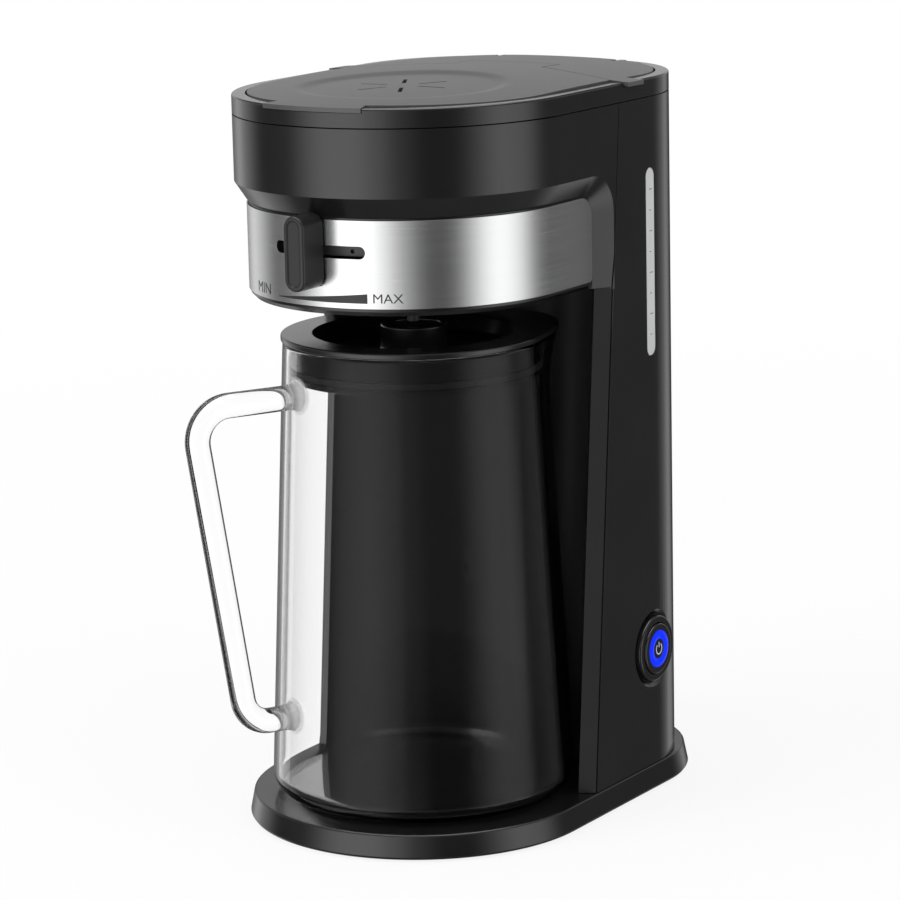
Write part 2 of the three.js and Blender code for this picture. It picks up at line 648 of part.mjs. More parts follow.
function pinHalf(lid) {
  const inner = lid === tankLid
    ? tankLid.barrelHalf + clearance + tankLid.knuckleWidth
    : lidSplit.tongueHalf + lidSplit.gap + clearance / 2 + hingePin.lugWidth;
  return inner - clearance;
}

const spoutHole = () => placed(
  rod(waterSpout.tubeRadius + clearance, head.top, deck.floorTop + overrun, 16), 0, waterSpout.y,
);

// Lids. Both are cut from one shallow dome, and the split between them runs to a hinge tongue.
function domeTool(drop) {
  const rings = 5;
  const reach = 1.2; // of the dome's half sizes
  const cap = Array.from({ length: rings + 1 }, (_, i) => {
    const share = (reach * i) / rings;
    return [share, 1 - share * share];
  });
  const depthShare = -10;
  const geometry = turnedGeometry([[0, depthShare], [reach, depthShare], ...cap.reverse()], domeSteps);
  geometry.scale(dome.halfWidth, dome.halfLength, dome.rise);
  geometry.translate(0, dome.centreY, dome.edge - drop);
  return solid(geometry);
}

function splitOutline(tongueEnd, grow) {
  const { sideY, tongueHalf, shoulderY } = lidSplit;
  const side = body.halfWidth - lidInset;
  return [
    new THREE.Vector2(-farAway, -farAway),
    new THREE.Vector2(farAway, -farAway),
    new THREE.Vector2(farAway, sideY + grow),
    new THREE.Vector2(side, sideY + grow),
    new THREE.Vector2(tongueHalf + grow, shoulderY + grow),
    new THREE.Vector2(tongueHalf + grow, tongueEnd),
    new THREE.Vector2(-tongueHalf - grow, tongueEnd),
    new THREE.Vector2(-tongueHalf - grow, shoulderY + grow),
    new THREE.Vector2(-side, sideY + grow),
    new THREE.Vector2(-farAway, sideY + grow),
  ];
}

const lidLow = dome.edge - farAway / 40;
const lidHigh = dome.edge + farAway / 40;
const lidArea = () => slab(planOutline(body, lidInset), lidLow, lidHigh);

function basketLidShape() {
  const { hingeY, hingeZ, endRadius } = basketLid;
  const tab = frontSector(
    basketLid.tabInner, basketLid.tabOuter, degrees(basketLid.tabAngle), lidLow, lidHigh,
  );
  const zone = slab(splitOutline(hingeY + endRadius + overrun, 0), lidLow - overrun, lidHigh + overrun);
  const half = lidSplit.tongueHalf;
  const endRound = block(-farAway, farAway, hingeY, farAway, lidLow - overrun, lidHigh + overrun)
    .subtract(rodAlongX(endRadius, -farAway / 4, farAway / 4, hingeY, hingeZ, 48));
  const skin = lidArea().add(tab).intersect(zone).intersect(domeTool(0))
    .subtract(domeTool(dome.skin)).subtract(endRound);
  const barrel = rodAlongX(basketLid.barrelRadius, -half, half, hingeY, hingeZ, 20)
    .subtract(rodAlongX(hingePin.radius + clearance, -farAway / 4, farAway / 4, hingeY, hingeZ, 12));
  return cutAll(skin.add(barrel), [dishCutter(), ...ventCutters()]);
}

function dishCutter() {
  const top = dome.edge + dome.rise;
  const slope = (basketLid.dishOuter - basketLid.dishInner) / basketLid.dishDepth;
  const low = top - dome.rise;
  const cone = turned([
    [0, low], [basketLid.dishInner - slope * (top - basketLid.dishDepth - low), low],
    [basketLid.dishOuter, top], [basketLid.dishOuter, top + overrun], [0, top + overrun],
  ], lidSteps);
  return placed(cone, 0, basketLid.dishY).subtract(domeTool(basketLid.dishDepth));
}

function ventCutters() {
  return Array.from({ length: basketLid.ventCount }, (_, i) => {
    const geometry = new THREE.BoxGeometry(
      basketLid.ventOuter - basketLid.ventInner, basketLid.ventWidth, farAway / 10,
    );
    geometry.translate(middle(basketLid.ventInner, basketLid.ventOuter), 0, dome.edge);
    geometry.rotateZ((i * 2 * Math.PI) / basketLid.ventCount);
    geometry.translate(0, basketLid.dishY, 0);
    return solid(geometry);
  });
}

function tankLidShape() {
  const { hingeY, hingeZ, barrelHalf } = tankLid;
  const sweep = basketLid.endRadius + basketLid.maxSweepGap;
  const zone = slab(splitOutline(basketLid.hingeY, lidSplit.gap), lidLow - overrun, lidHigh + overrun);
  const tongueHalf = lidSplit.tongueHalf + lidSplit.gap;
  const tongueRoom = rodAlongX(sweep, -tongueHalf, tongueHalf, basketLid.hingeY, basketLid.hingeZ, 48);
  const ears = [1, -1].map((side) => earBlock(side, 0, lidLow, lidHigh));
  const skin = joinAll([lidArea(), ...ears]).subtract(zone).intersect(domeTool(0))
    .subtract(domeTool(dome.skin)).subtract(tongueRoom);
  const knuckleRooms = [1, -1].map((side) => {
    const x0 = side * barrelHalf;
    const x1 = side * (barrelHalf + tankLid.knuckleWidth + clearance * 2);
    return block(
      Math.min(x0, x1), Math.max(x0, x1), hingeY - hingePin.lugRadius - overrun / 2, farAway,
      lidLow - overrun, lidHigh + overrun,
    );
  });
  const barrel = rodAlongX(tankLid.barrelRadius, -barrelHalf, barrelHalf, hingeY, hingeZ, 20);
  const bore = rodAlongX(hingePin.radius + clearance, -farAway / 4, farAway / 4, hingeY, hingeZ, 12);
  return cutAll(cutAll(skin, knuckleRooms).add(barrel), [bore]);
}

const pinShape = (lid) =>
  rodAlongX(hingePin.radius, -pinHalf(lid), pinHalf(lid), lid.hingeY, lid.hingeZ, 12);

// Jug
const smoothStep = (share) => {
  const t = Math.min(1, Math.max(0, share));
  return t * t * (3 - 2 * t);
};
const spoutShare = (angle) => {
  const off = THREE.MathUtils.euclideanModulo(angle - degrees(jug.spoutAngle) + Math.PI, 2 * Math.PI) - Math.PI;
  const turn = Math.abs(off) / degrees(jug.spoutSpread);
  return turn < 1 ? Math.cos((turn * Math.PI) / 2) ** 2 : 0;
};

// Pushes a turned wall outwards at the spout; reach(z, radius) is the push in the spout's middle.
function withSpout(geometry, reach) {
  const position = geometry.attributes.position;
  for (let i = 0; i < position.count; i += 1) {
    const [x, y, z] = [position.getX(i), position.getY(i), position.getZ(i)];
    const radius = Math.hypot(x, y);
    if (radius > 0) {
      const push = reach(z, radius) * spoutShare(Math.atan2(x, -y));
      const share = 1 + push / radius;
      position.setXY(i, x * share, y * share);
    }
  }
  return geometry;
}

const jugBottom = base.top + jug.floorGap;
const widestZ = jugBottom + jug.cornerRadius;
const jugRadiusAt = (z) =>
  jug.widestRadius + ((jug.rimRadius - jug.widestRadius) * (z - widestZ)) / (jug.rimTop - widestZ);

function jugWallProfile() {
  const levels = 1;
  const spoutLevels = 5;
  const heights = [
    ...Array.from({ length: levels }, (_, i) => widestZ + ((jug.spoutStart - widestZ) * i) / levels),
    ...Array.from({ length: spoutLevels + 1 }, (_, i) =>
      jug.spoutStart + ((jug.rimTop - jug.spoutStart) * i) / spoutLevels),
  ];
  const corner = arcPoints(jug.restRadius, widestZ, 1, -Math.PI / 2, 0, 4).slice(0, -1).map((point) => [
    jug.restRadius + (point.x - jug.restRadius) * (jug.widestRadius - jug.restRadius),
    widestZ + (point.y - widestZ) * jug.cornerRadius,
  ]);
  const outside = heights.map((z) => [jugRadiusAt(z), z]);
  const inner = heights.filter((z) => z > widestZ + jug.floorThickness).reverse()
    .map((z) => [jugRadiusAt(z) - jug.thickness, z]);
  const floor = jugBottom + jug.floorThickness;
  const innerCorner = jug.cornerRadius - jug.thickness;
  const insideCorner = arcPoints(0, 0, 1, 0, -Math.PI / 2, 3).map((point) => [
    jug.widestRadius - jug.thickness - innerCorner * (1 - point.x),
    floor + innerCorner * (1 + point.y),
  ]);
  return [[0, jugBottom], ...corner, ...outside, ...inner, ...insideCorner, [0, floor]];
}

const spoutReachAt = (z) => jug.spoutReach
  * smoothStep(((z - jug.spoutStart) / (jug.rimTop - jug.spoutStart)) * 0.5) * 2;

// The handle's centre line in its own upright plane: [distance from the axis, height].
function handleCorners() {
  const run = handle.topReach - handle.bottomReach;
  const drop = handle.topZ - handle.bottomZ;
  const tilt = Math.atan2(run, drop);
  const topLeg = handle.topBend / Math.tan((Math.PI / 2 - tilt) / 2);
  const bottomLeg = handle.bottomBend / Math.tan((Math.PI / 2 + tilt) / 2);
  return { tilt, topLeg, bottomLeg };
}

function handleCurve() {
  const { tilt, topLeg, bottomLeg } = handleCorners();
  const embed = jug.thickness / 2;
  const topCentre = [handle.topReach - topLeg, handle.topZ - handle.topBend];
  const bottomCentre = [handle.bottomReach - bottomLeg, handle.bottomZ + handle.bottomBend];
  const bend = (centre, radius, from, to) => arcPoints(...centre, radius, from, to, 7);
  const points = [
    new THREE.Vector2(jugRadiusAt(handle.topZ) - embed, handle.topZ),
    ...bend(topCentre, handle.topBend, Math.PI / 2, -tilt),
    ...bend(bottomCentre, handle.bottomBend, -tilt, -Math.PI / 2),
    new THREE.Vector2(jugRadiusAt(handle.bottomZ) - embed, handle.bottomZ),
  ];
  const path = new THREE.CurvePath();
  const inSpace = (point) => {
    const across = aroundFront(point.x, degrees(handle.angle));
    return new THREE.Vector3(across.x, across.y, point.y);
  };
  points.slice(1).forEach((point, i) => {
    path.add(new THREE.LineCurve3(inSpace(points[i]), inSpace(point)));
  });
  return { path, points, inSpace };
}

// A round bar through a list of points, with a ring of facets square to the line at each.
function bar(points, radii, sides) {
  const tangents = points.map((point, i) => {
    const before = points[Math.max(0, i - 1)];
    const after = points[Math.min(points.length - 1, i + 1)];
    return after.clone().sub(before).normalize();
  });
  let side = new THREE.Vector3(0, 0, 1).cross(tangents[0]);
  if (side.length() < 0.1) side = new THREE.Vector3(1, 0, 0);
  const rings = points.map((point, i) => {
    side.addScaledVector(tangents[i], -side.dot(tangents[i])).normalize();
    const up = tangents[i].clone().cross(side);
    const ring = Array.from({ length: sides }, (_, k) => {
      const angle = (2 * Math.PI * k) / sides;
      return point.clone().addScaledVector(side, radii[i] * Math.cos(angle))
        .addScaledVector(up, radii[i] * Math.sin(angle));
    });
    side = side.clone();
    return ring;
  });
  const flat = arcPoints(0, 0, 1, 0, 2 * Math.PI, sides).slice(0, -1);
  return solid(loft(rings.map(() => flat), (point, i) => rings[i][flat.indexOf(point)]));
}

function glassJug() {
  const wallShape = withSpout(turnedGeometry(jugWallProfile(), jugSteps), (z) => spoutReachAt(z));
  const { points, inSpace } = handleCurve();
  const line = points.map(inSpace);
  const radii = line.map(() => handle.rodRadius);
  const pads = [points[0], points.at(-1)].map((point) => {
    const start = new THREE.Vector2(point.x, point.y);
    const end = new THREE.Vector2(point.x + jug.thickness / 2 + handle.padLength, point.y);
    return bar([inSpace(start), inSpace(end)], [handle.padRadius, handle.rodRadius], 14);
  });
  return joinAll([solid(wallShape), bar(line, radii, 14), ...pads]);
}

function jugLidShape() {
  const { top, outerRadius, ringInner, dishRadius, dishFloor, collarBottom, collarRadius } = jugLid;
  const flangeLow = top - jugLid.flangeThickness;
  const collarInner = collarRadius - jugLid.collarWall;
  const floorLow = dishFloor - jugLid.floorThickness;
  const grooveLow = lidSeal.bottom - clearance;
  const grooveHigh = lidSeal.bottom + lidSeal.height + clearance;
  const grooveRadius = collarRadius - lidSeal.depth;
  const middleRadius = middle(outerRadius, ringInner);
  const edge = jugLid.flangeThickness / 4;
  const profile = [
    [jugLid.drainRadius, floorLow], [collarInner, floorLow], [collarInner, collarBottom],
    [collarRadius, collarBottom], [collarRadius, grooveLow], [grooveRadius, grooveLow],
    [grooveRadius, grooveHigh], [collarRadius, grooveHigh], [collarRadius, flangeLow],
    [outerRadius, flangeLow], [outerRadius, top - edge], [outerRadius - edge, top],
    [ringInner, top], [dishRadius, dishFloor], [jugLid.cupRadius, dishFloor],
    [jugLid.cupRadius, jugLid.cupTop - edge], [jugLid.cupRadius - edge, jugLid.cupTop],
    [jugLid.cupInner, jugLid.cupTop], [jugLid.cupInner, dishFloor],
    [jugLid.drainRadius, dishFloor], [jugLid.drainRadius, floorLow],
  ];
  const lip = (z, radius) => (z > flangeLow - clearance / 2 && radius > middleRadius + edge
    ? jugLid.lipReach : 0);
  return solid(withSpout(turnedGeometry(profile, lidSteps), lip));
}

const jugLidSeal = () => {
  const inner = jugLid.collarRadius - lidSeal.depth + clearance;
  const outer = jugLid.collarRadius + lidSeal.proud;
  return washer(inner, outer, lidSeal.bottom, lidSeal.bottom + lidSeal.height, lidSteps);
};

// Brewing parts
function brewBasket() {
  const seat = deck.floorTop + clearance;
  const top = seat + basket.flangeThickness;
  const floorTop = basket.floor + basket.thickness;
  const seatTop = basket.tubeBottom + basket.seatThickness;
  const shell = turned([
    [0, basket.floor], [basket.tubeBore, basket.floor], [basket.tubeBore, seatTop],
    [basket.seatBore, seatTop], [basket.seatBore, basket.tubeBottom], [basket.tubeRadius, basket.tubeBottom],
    [basket.tubeRadius, basket.floor], [basket.bottomRadius, basket.floor], [basket.topRadius, seat],
    [basket.flangeRadius, seat], [basket.flangeRadius, top], [basket.topRadius - basket.thickness, top],
    [basket.bottomRadius - basket.thickness, floorTop], [0, floorTop],
  ]);
  const drains = Array.from({ length: basket.drainCount }, (_, i) => {
    const spot = aroundFront(basket.drainCircle, (i * 2 * Math.PI) / basket.drainCount);
    return placed(rod(basket.drainRadius, basket.floor - overrun, floorTop + overrun, 10), spot.x, spot.y);
  });
  return cutAll(shell, drains);
}

// Inner radius of the basket's wall at a height.
function basketInner(z) {
  const top = deck.floorTop + clearance;
  const share = (z - basket.floor) / (top - basket.floor);
  return basket.bottomRadius + (basket.topRadius - basket.bottomRadius) * share - basket.thickness;
}

function filterShell(inset, thickness, low) {
  const high = deck.floorTop - overrun;
  const outer = (z) => basketInner(z) - filterCup.sideGap - inset;
  return turned([
    [0, low], [outer(low), low], [outer(high), high], [outer(high) - thickness, high],
    [outer(low) - thickness, low + thickness], [0, low + thickness],
  ]);
}

function filterFrame() {
  const low = basket.floor + basket.thickness + clearance;
  const high = deck.floorTop - overrun;
  const frame = filterShell(0, filterCup.thickness, low);
  const windows = Array.from({ length: filterCup.windowCount }, (_, i) => {
    const half = degrees(filterCup.windowAngle) / 2;
    const window = frontSector(
      basket.bottomRadius / 2, basket.flangeRadius, half,
      low + filterCup.windowMargin, high - filterCup.windowMargin,
    );
    const geometry = geometryOf(window);
    geometry.rotateZ((i * 2 * Math.PI) / filterCup.windowCount);
    return solid(geometry);
  });
  return cutAll(frame, windows);
}

const filterMesh = () => filterShell(
  filterCup.thickness + clearance, filterCup.meshThickness,
  basket.floor + basket.thickness + clearance + filterCup.thickness + clearance,
);

const poppetBottom = basket.tubeBottom + basket.seatThickness + dripValve.seatGap;
const poppetTop = poppetBottom + dripValve.poppetHeight;

const dripValveShape = () => turned([
  [0, dripValve.stemBottom], [dripValve.stemRadius, dripValve.stemBottom],
  [dripValve.stemRadius, poppetBottom], [dripValve.poppetRadius, poppetBottom],
  [dripValve.poppetRadius, poppetTop], [0, poppetTop],
], 24);

function dripSpringShape() {
  const { coilRadius, wireRadius, turns, sides, stepsPerTurn } = dripSpring;
  const low = poppetTop + clearance + wireRadius;
  const high = basket.floor - clearance - wireRadius;
  const steps = turns * stepsPerTurn;
  const points = Array.from({ length: steps + 1 }, (_, i) => {
    const angle = (2 * Math.PI * i) / stepsPerTurn;
    return new THREE.Vector3(
      coilRadius * Math.cos(angle), coilRadius * Math.sin(angle), low + ((high - low) * i) / steps,
    );
  });
  return bar(points, points.map(() => wireRadius), sides);
}

function dripOutlet() {
  const seat = head.underside + wall + clearance;
  return turned([
    [outlet.bore, head.underside - outlet.drop], [outlet.collarRadius, head.underside - outlet.drop],
    [outlet.collarRadius, seat], [outlet.flangeRadius, seat],
    [outlet.flangeRadius, seat + outlet.flangeThickness], [outlet.bore, seat + outlet.flangeThickness],
    [outlet.bore, head.underside - outlet.drop],
  ], 32);
}

function waterSpoutShape() {
  const { y, tubeRadius, bottom, nozzleHalf, nozzleFront, nozzleRear, nozzleBottom, nozzleTop } = waterSpout;
  const tube = placed(rod(tubeRadius, bottom, nozzleTop - clearance, 16), 0, y);
  const outline = roundedRectangle(
    -nozzleHalf, nozzleHalf, nozzleFront, nozzleRear, [overrun, tubeRadius, tubeRadius, overrun], 4,
  );
  return tube.add(slab(outline, nozzleBottom, nozzleTop));
}

// Strength control
function strengthRingShape() {
  const low = slot.centreZ - strengthRing.height / 2;
  const ring = washer(strengthRing.innerRadius, strengthRing.outerRadius, low, low + strengthRing.height);
  const geometry = new THREE.CylinderGeometry(
    strengthRing.markRadius, strengthRing.markRadius, wall * 2, 12,
  );
  geometry.translate(0, -strengthRing.outerRadius, 0);
  geometry.rotateZ(degrees(strengthRing.markAngle));
  geometry.translate(0, 0, slot.centreZ);
  return ring.subtract(solid(geometry));
}

function leverShape() {
  const { width, height, edgeBevel } = lever;
  const innerRadius = body.front - relief.depth + band.standoff + band.thickness + lever.bandGap;
  const outerRadius = innerRadius + lever.depth;
  const half = width / 2;
  const knobAt = (shrink) => roundedRectangle(
    shrink - half, half - shrink, lever.centreZ - height / 2 + shrink, lever.centreZ + height / 2 - shrink,
    [half - shrink, half - shrink, half - shrink, half - shrink],
  );
  const depths = [innerRadius, outerRadius - edgeBevel, outerRadius];
  const sections = [knobAt(0), knobAt(0), knobAt(edgeBevel)];
  const knob = solid(loft(sections, (point, i) => new THREE.Vector3(point.x, -depths[i], point.y)));
  const stem = block(
    -lever.stemWidth / 2, lever.stemWidth / 2, -innerRadius - overrun, -strengthRing.outerRadius - clearance,
    slot.centreZ - lever.stemHeight / 2, slot.centreZ + lever.stemHeight / 2,
  );
  const geometry = geometryOf(knob.add(stem));
  geometry.rotateZ(degrees(slot.turn));
  return solid(geometry);
}

// Water side
function waterTank() {
  const outerInset = wall + clearance * 2;
  const innerInset = outerInset + tank.thickness;
  const zone = (grow, low) => block(-farAway, farAway, tank.frontLow + grow, farAway, low, farAway)
    .add(block(-farAway, farAway, tank.frontHigh + grow, farAway, tank.stepZ + grow, farAway));
  const outer = slab(planOutline(body, outerInset), tank.bottom, tank.top).intersect(zone(0, 0));
  const inner = slab(planOutline(body, innerInset), tank.bottom + tank.thickness, farAway)
    .intersect(zone(tank.thickness, 0));
  const stub = placed(
    rod(hose.stubRadius, tank.bottom - hose.stubLength, tank.bottom + tank.thickness / 2, 16),
    heater.leftX, heater.rearY,
  );
  return outer.add(stub).subtract(inner);
}

const levelWindowShape = () => {
  const outerX = body.halfWidth - levelWindow.sunk;
  return windowShape(clearance, outerX - levelWindow.thickness, outerX);
};

function heaterTube() {
  const { z, frontY, rearY, leftX, rightX, stubTop, radius } = heater;
  const bend = radius * 2;
  const turnRadius = (rearY - frontY) / 2;
  const rise = (y, up) => {
    const arc = arcPoints(leftX + bend, z + bend, bend, -Math.PI / 2, -Math.PI, 4)
      .map((point) => new THREE.Vector3(point.x, y, point.y));
    const leg = [...arc, new THREE.Vector3(leftX, y, stubTop)];
    return up ? leg : leg.reverse();
  };
  const loop = arcPoints(rightX, middle(frontY, rearY), turnRadius, Math.PI / 2, -Math.PI / 2, 8)
    .map((point) => new THREE.Vector3(point.x, point.y, z));
  const points = [...rise(rearY, false), ...loop, ...rise(frontY, true)];
  return bar(points, points.map(() => radius), hose.sides);
}

function heaterBracket() {
  const low = base.top + clearance;
  const front = heater.frontY - bracket.margin;
  const rear = heater.rearY + bracket.margin;
  const plate = block(-bracket.halfX, bracket.halfX, front, rear, low, low + bracket.plate);
  const ribs = [-1, 1].map((side) => block(
    side * bracket.ribX - bracket.rib / 2, side * bracket.ribX + bracket.rib / 2, front, rear,
    low, heater.z - heater.radius - clearance,
  ));
  return joinAll([plate, ...ribs]);
}

const thermostatShape = () => {
  const low = heater.z + heater.radius + clearance;
  return placed(rod(thermostat.radius, low, low + thermostat.height, 20), thermostat.x, heater.frontY);
};
const thermalFuseShape = () => rodAlongX(
  thermalFuse.radius, thermalFuse.x - thermalFuse.halfLength, thermalFuse.x + thermalFuse.halfLength,
  heater.rearY, heater.z + heater.radius + clearance + thermalFuse.radius, 12,
);
const checkValveShape = () => {
  const low = heater.stubTop + clearance;
  return placed(rod(checkValve.radius, low, low + checkValve.height, 20), heater.leftX, heater.rearY);
};
const inletHose = () => {
  const low = heater.stubTop + checkValve.height + clearance * 2;
  const high = tank.bottom - hose.stubLength - clearance;
  return placed(rod(hose.radius, low, high, hose.sides), heater.leftX, heater.rearY);
};

// A line through corners, each rounded by a bend.
function bentLine(corners, bend, steps) {
  const line = [corners[0]];
  corners.slice(1, -1).forEach((corner, i) => {
    const before = corners[i].clone().sub(corner).normalize();
    const after = corners[i + 2].clone().sub(corner).normalize();
    const leg = bend / Math.tan(before.angleTo(after) / 2);
    const curve = new THREE.QuadraticBezierCurve3(
      corner.clone().addScaledVector(before, leg), corner, corner.clone().addScaledVector(after, leg),
    );
    line.push(...curve.getPoints(steps));
  });
  return [...line, corners.at(-1)];
}

function riserHose() {
  const { columnX, columnY, lowBendZ, crossZ, bend } = riser;
  const points = bentLine([
    new THREE.Vector3(heater.leftX, heater.frontY, heater.stubTop + clearance),
    new THREE.Vector3(heater.leftX, heater.frontY, lowBendZ),
    new THREE.Vector3(columnX, columnY, lowBendZ + columnY / 2),
    new THREE.Vector3(columnX, columnY, crossZ),
    new THREE.Vector3(0, waterSpout.y, crossZ),
    new THREE.Vector3(0, waterSpout.y, waterSpout.bottom - clearance),
  ], bend, 4);
  return bar(points, points.map(() => riser.radius), hose.sides);
}

// Button on the right side
const buttonFace = body.halfWidth - button.recessDepth; // the recess floor

function buttonBezel() {
  const seat = buttonFace + clearance;
  const rim = body.halfWidth + button.bezelProud;
  const tubeEnd = seat - button.bezelTube;
  const edge = button.bezelProud;
  return turnedAlongX([
    [button.bezelInner, tubeEnd], [button.holeRadius - clearance, tubeEnd],
    [button.holeRadius - clearance, seat], [button.bezelRadius, seat],
    [button.bezelRadius, rim - edge], [button.bezelRadius - edge, rim],
    [button.bezelInner + clearance, rim], [button.bezelInner, rim - clearance],
    [button.bezelInner, tubeEnd],
  ], button.y, button.z);
}

const capFace = body.halfWidth + button.capProud;
const lightFloor = capFace - button.lightDepth - button.capCrown;

function powerButton() {
  const back = capFace - button.capDepth;
  const edge = button.capCrown;
  return turnedAlongX([
    [0, back - button.stemLength], [button.stemRadius, back - button.stemLength],
    [button.stemRadius, back], [button.capRadius, back],
    [button.capRadius, capFace - edge * 2], [button.capRadius - edge * 2, capFace - edge],
    [button.lightOuter + clearance, capFace - edge], [button.lightOuter + clearance, lightFloor],
    [button.lightInner - clearance, lightFloor], [button.lightInner - clearance, capFace - edge],
    [0, capFace - edge],
  ], button.y, button.z);
}

const lightRing = () => turnedAlongX([
  [button.lightInner, lightFloor + clearance], [button.lightOuter, lightFloor + clearance],
  [button.lightOuter, capFace - button.capCrown], [middle(button.lightInner, button.lightOuter), capFace],
  [button.lightInner, capFace - button.capCrown], [button.lightInner, lightFloor + clearance],
], button.y, button.z);

const switchBody = () => {
  const front = buttonFace - button.bezelTube;
  return block(
    front - switchBox.depth, front, button.y - switchBox.halfWidth, button.y + switchBox.halfWidth,
    button.z - switchBox.halfHeight, button.z + switchBox.halfHeight,
  );
};

function cordGland() {
  const face = body.rear + clearance;
  const inside = body.rear - wall - gland.inside;
  return turnedAlongY([
    [gland.bore, inside], [gland.tubeRadius, inside], [gland.tubeRadius, face],
    [gland.flangeRadius, face], [gland.flangeRadius, face + gland.flangeThickness / 2],
    [gland.tubeRadius, face + gland.flangeThickness], [gland.bore, face + gland.flangeThickness],
    [gland.bore, inside],
  ], 0, gland.z);
}

// The assembly
const maker = new THREE.Group();
function add(name, shape, look) {
  const piece = new THREE.Mesh(geometryOf(shape), look);
  piece.name = name;
  maker.add(piece);
}

add('base_shell', baseShell(), blackGloss);
add('base_plate', bottomPlate(), blackMatte);
footPlaces().forEach(([name, x, y]) => add(`foot_${name}`, placed(footShape(), x, y), rubber));
baseScrewPlaces().forEach(([x, y], i) => add(`base_screw_${i + 1}`, placed(baseScrewShape(), x, y), steel));

add('front_housing', frontHousing(), blackGloss);
add('rear_housing', rearHousing(), blackGloss);
add('steel_band', steelBand(), steel);
add('top_deck', topDeck(), blackGloss);
add('basket_lid', basketLidShape(), blackMatte);
add('basket_lid_pin', pinShape(basketLid), steel);
add('tank_lid', tankLidShape(), blackMatte);
add('tank_lid_pin', pinShape(tankLid), steel);

add('glass_jug', glassJug(), glass);
add('jug_lid', jugLidShape(), blackGloss);
add('jug_lid_seal', jugLidSeal(), silicone);

add('brew_basket', brewBasket(), blackMatte);
add('filter_frame', filterFrame(), darkInner);
add('filter_mesh', filterMesh(), mesh);
add('drip_valve', dripValveShape(), silicone);
add('drip_spring', dripSpringShape(), steel);
add('drip_outlet', dripOutlet(), blackMatte);
add('water_spout', waterSpoutShape(), darkInner);
add('strength_ring', strengthRingShape(), blackMatte);
add('strength_lever', leverShape(), blackMatte);

add('water_tank', waterTank(), frosted);
add('level_window', levelWindowShape(), frosted);
add('heater_tube', heaterTube(), aluminium);
add('heater_bracket', heaterBracket(), aluminium);
add('thermostat', thermostatShape(), steel);
add('thermal_fuse', thermalFuseShape(), steel);
add('check_valve', checkValveShape(), darkInner);
add('inlet_hose', inletHose(), silicone);
add('riser_hose', riserHose(), silicone);

add('button_bezel', buttonBezel(), blackGloss);
add('power_button', powerButton(), blackGloss);
add('light_ring', lightRing(), blueLight);
add('switch_body', switchBody(), darkInner);
add('cord_gland', cordGland(), rubber);

// The origin goes under the middle of the whole, from the handle's front to the base's rear.
const { topLeg } = handleCorners();
const handleOut = handle.topReach - topLeg + handle.topBend;
const frontReach = handleOut * Math.cos(degrees(handle.angle)) + handle.rodRadius;
maker.position.y = -middle(-frontReach, base.rear + base.skirtFlare);

export default maker;
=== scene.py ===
import json
from math import asin, atan2, copysign, cos, hypot, pi, radians, sin, tan

import bmesh
import bpy
from mathutils import Matrix, Vector


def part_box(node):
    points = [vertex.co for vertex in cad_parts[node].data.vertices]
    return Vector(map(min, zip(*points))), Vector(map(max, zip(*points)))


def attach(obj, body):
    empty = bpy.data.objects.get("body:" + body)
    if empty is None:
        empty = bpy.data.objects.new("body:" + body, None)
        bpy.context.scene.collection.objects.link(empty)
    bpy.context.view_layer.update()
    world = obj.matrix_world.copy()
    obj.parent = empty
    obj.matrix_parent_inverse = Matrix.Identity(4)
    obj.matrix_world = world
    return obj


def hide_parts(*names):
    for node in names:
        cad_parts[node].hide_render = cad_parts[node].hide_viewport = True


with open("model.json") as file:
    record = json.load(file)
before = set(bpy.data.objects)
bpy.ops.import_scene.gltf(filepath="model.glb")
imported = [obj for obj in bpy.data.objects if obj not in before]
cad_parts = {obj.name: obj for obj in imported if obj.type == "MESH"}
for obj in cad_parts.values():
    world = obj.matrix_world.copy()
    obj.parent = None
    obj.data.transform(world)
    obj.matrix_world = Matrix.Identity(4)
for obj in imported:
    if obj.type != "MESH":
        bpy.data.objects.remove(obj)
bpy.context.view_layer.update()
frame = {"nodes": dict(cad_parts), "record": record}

# Sizes are in millimetres about the jug's upright axis; inFrame puts a point where the model has it.
mm = 0.001
valveLow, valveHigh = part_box("drip_valve")
axisY = (valveLow[1] + valveHigh[1]) / 2
gap = 0.3
past = 2.0    # how far a cutter passes a face
far = 400.0

body = {"halfWidth": 77.7, "front": 77.7, "rear": 138, "rearRadius": 58.5, "wall": 2.5,
        "baseTop": 11.9, "headUnderside": 240.6, "headTop": 321.3}
flank, wall, headLow, headTop = (body[key] for key in ("halfWidth", "wall", "headUnderside", "headTop"))
bodyLow = body["baseTop"] + gap


def inFrame(x, y, z):
    return Vector((x * mm, y * mm + axisY, z * mm))


def linked(name, data):
    made = bpy.data.objects.new(name, data)
    bpy.context.scene.collection.objects.link(made)
    return made


# Camera

camera = {"place": (867.48, -1305.84, 502.83), "right": (0.84048, 0.54141, -0.02152),
          "back": (0.53331, -0.81959, 0.2094), "lens": 142.93, "sensor": 36, "near": 0.05, "far": 30}


def addCamera():
    data = bpy.data.cameras.new("camera")
    data.lens, data.sensor_width = camera["lens"], camera["sensor"]
    data.clip_start, data.clip_end = camera["near"], camera["far"]
    shooter = linked("camera", data)
    right = Vector(camera["right"]).normalized()
    back = Vector(camera["back"])
    back = (back - right * back.dot(right)).normalized()
    up, place = back.cross(right), inFrame(*camera["place"])
    rows = [[right[i], up[i], back[i], place[i]] for i in range(3)]
    shooter.matrix_world = Matrix([*rows, [0, 0, 0, 1]])
    bpy.context.scene.camera = shooter


addCamera()


# Shader wiring

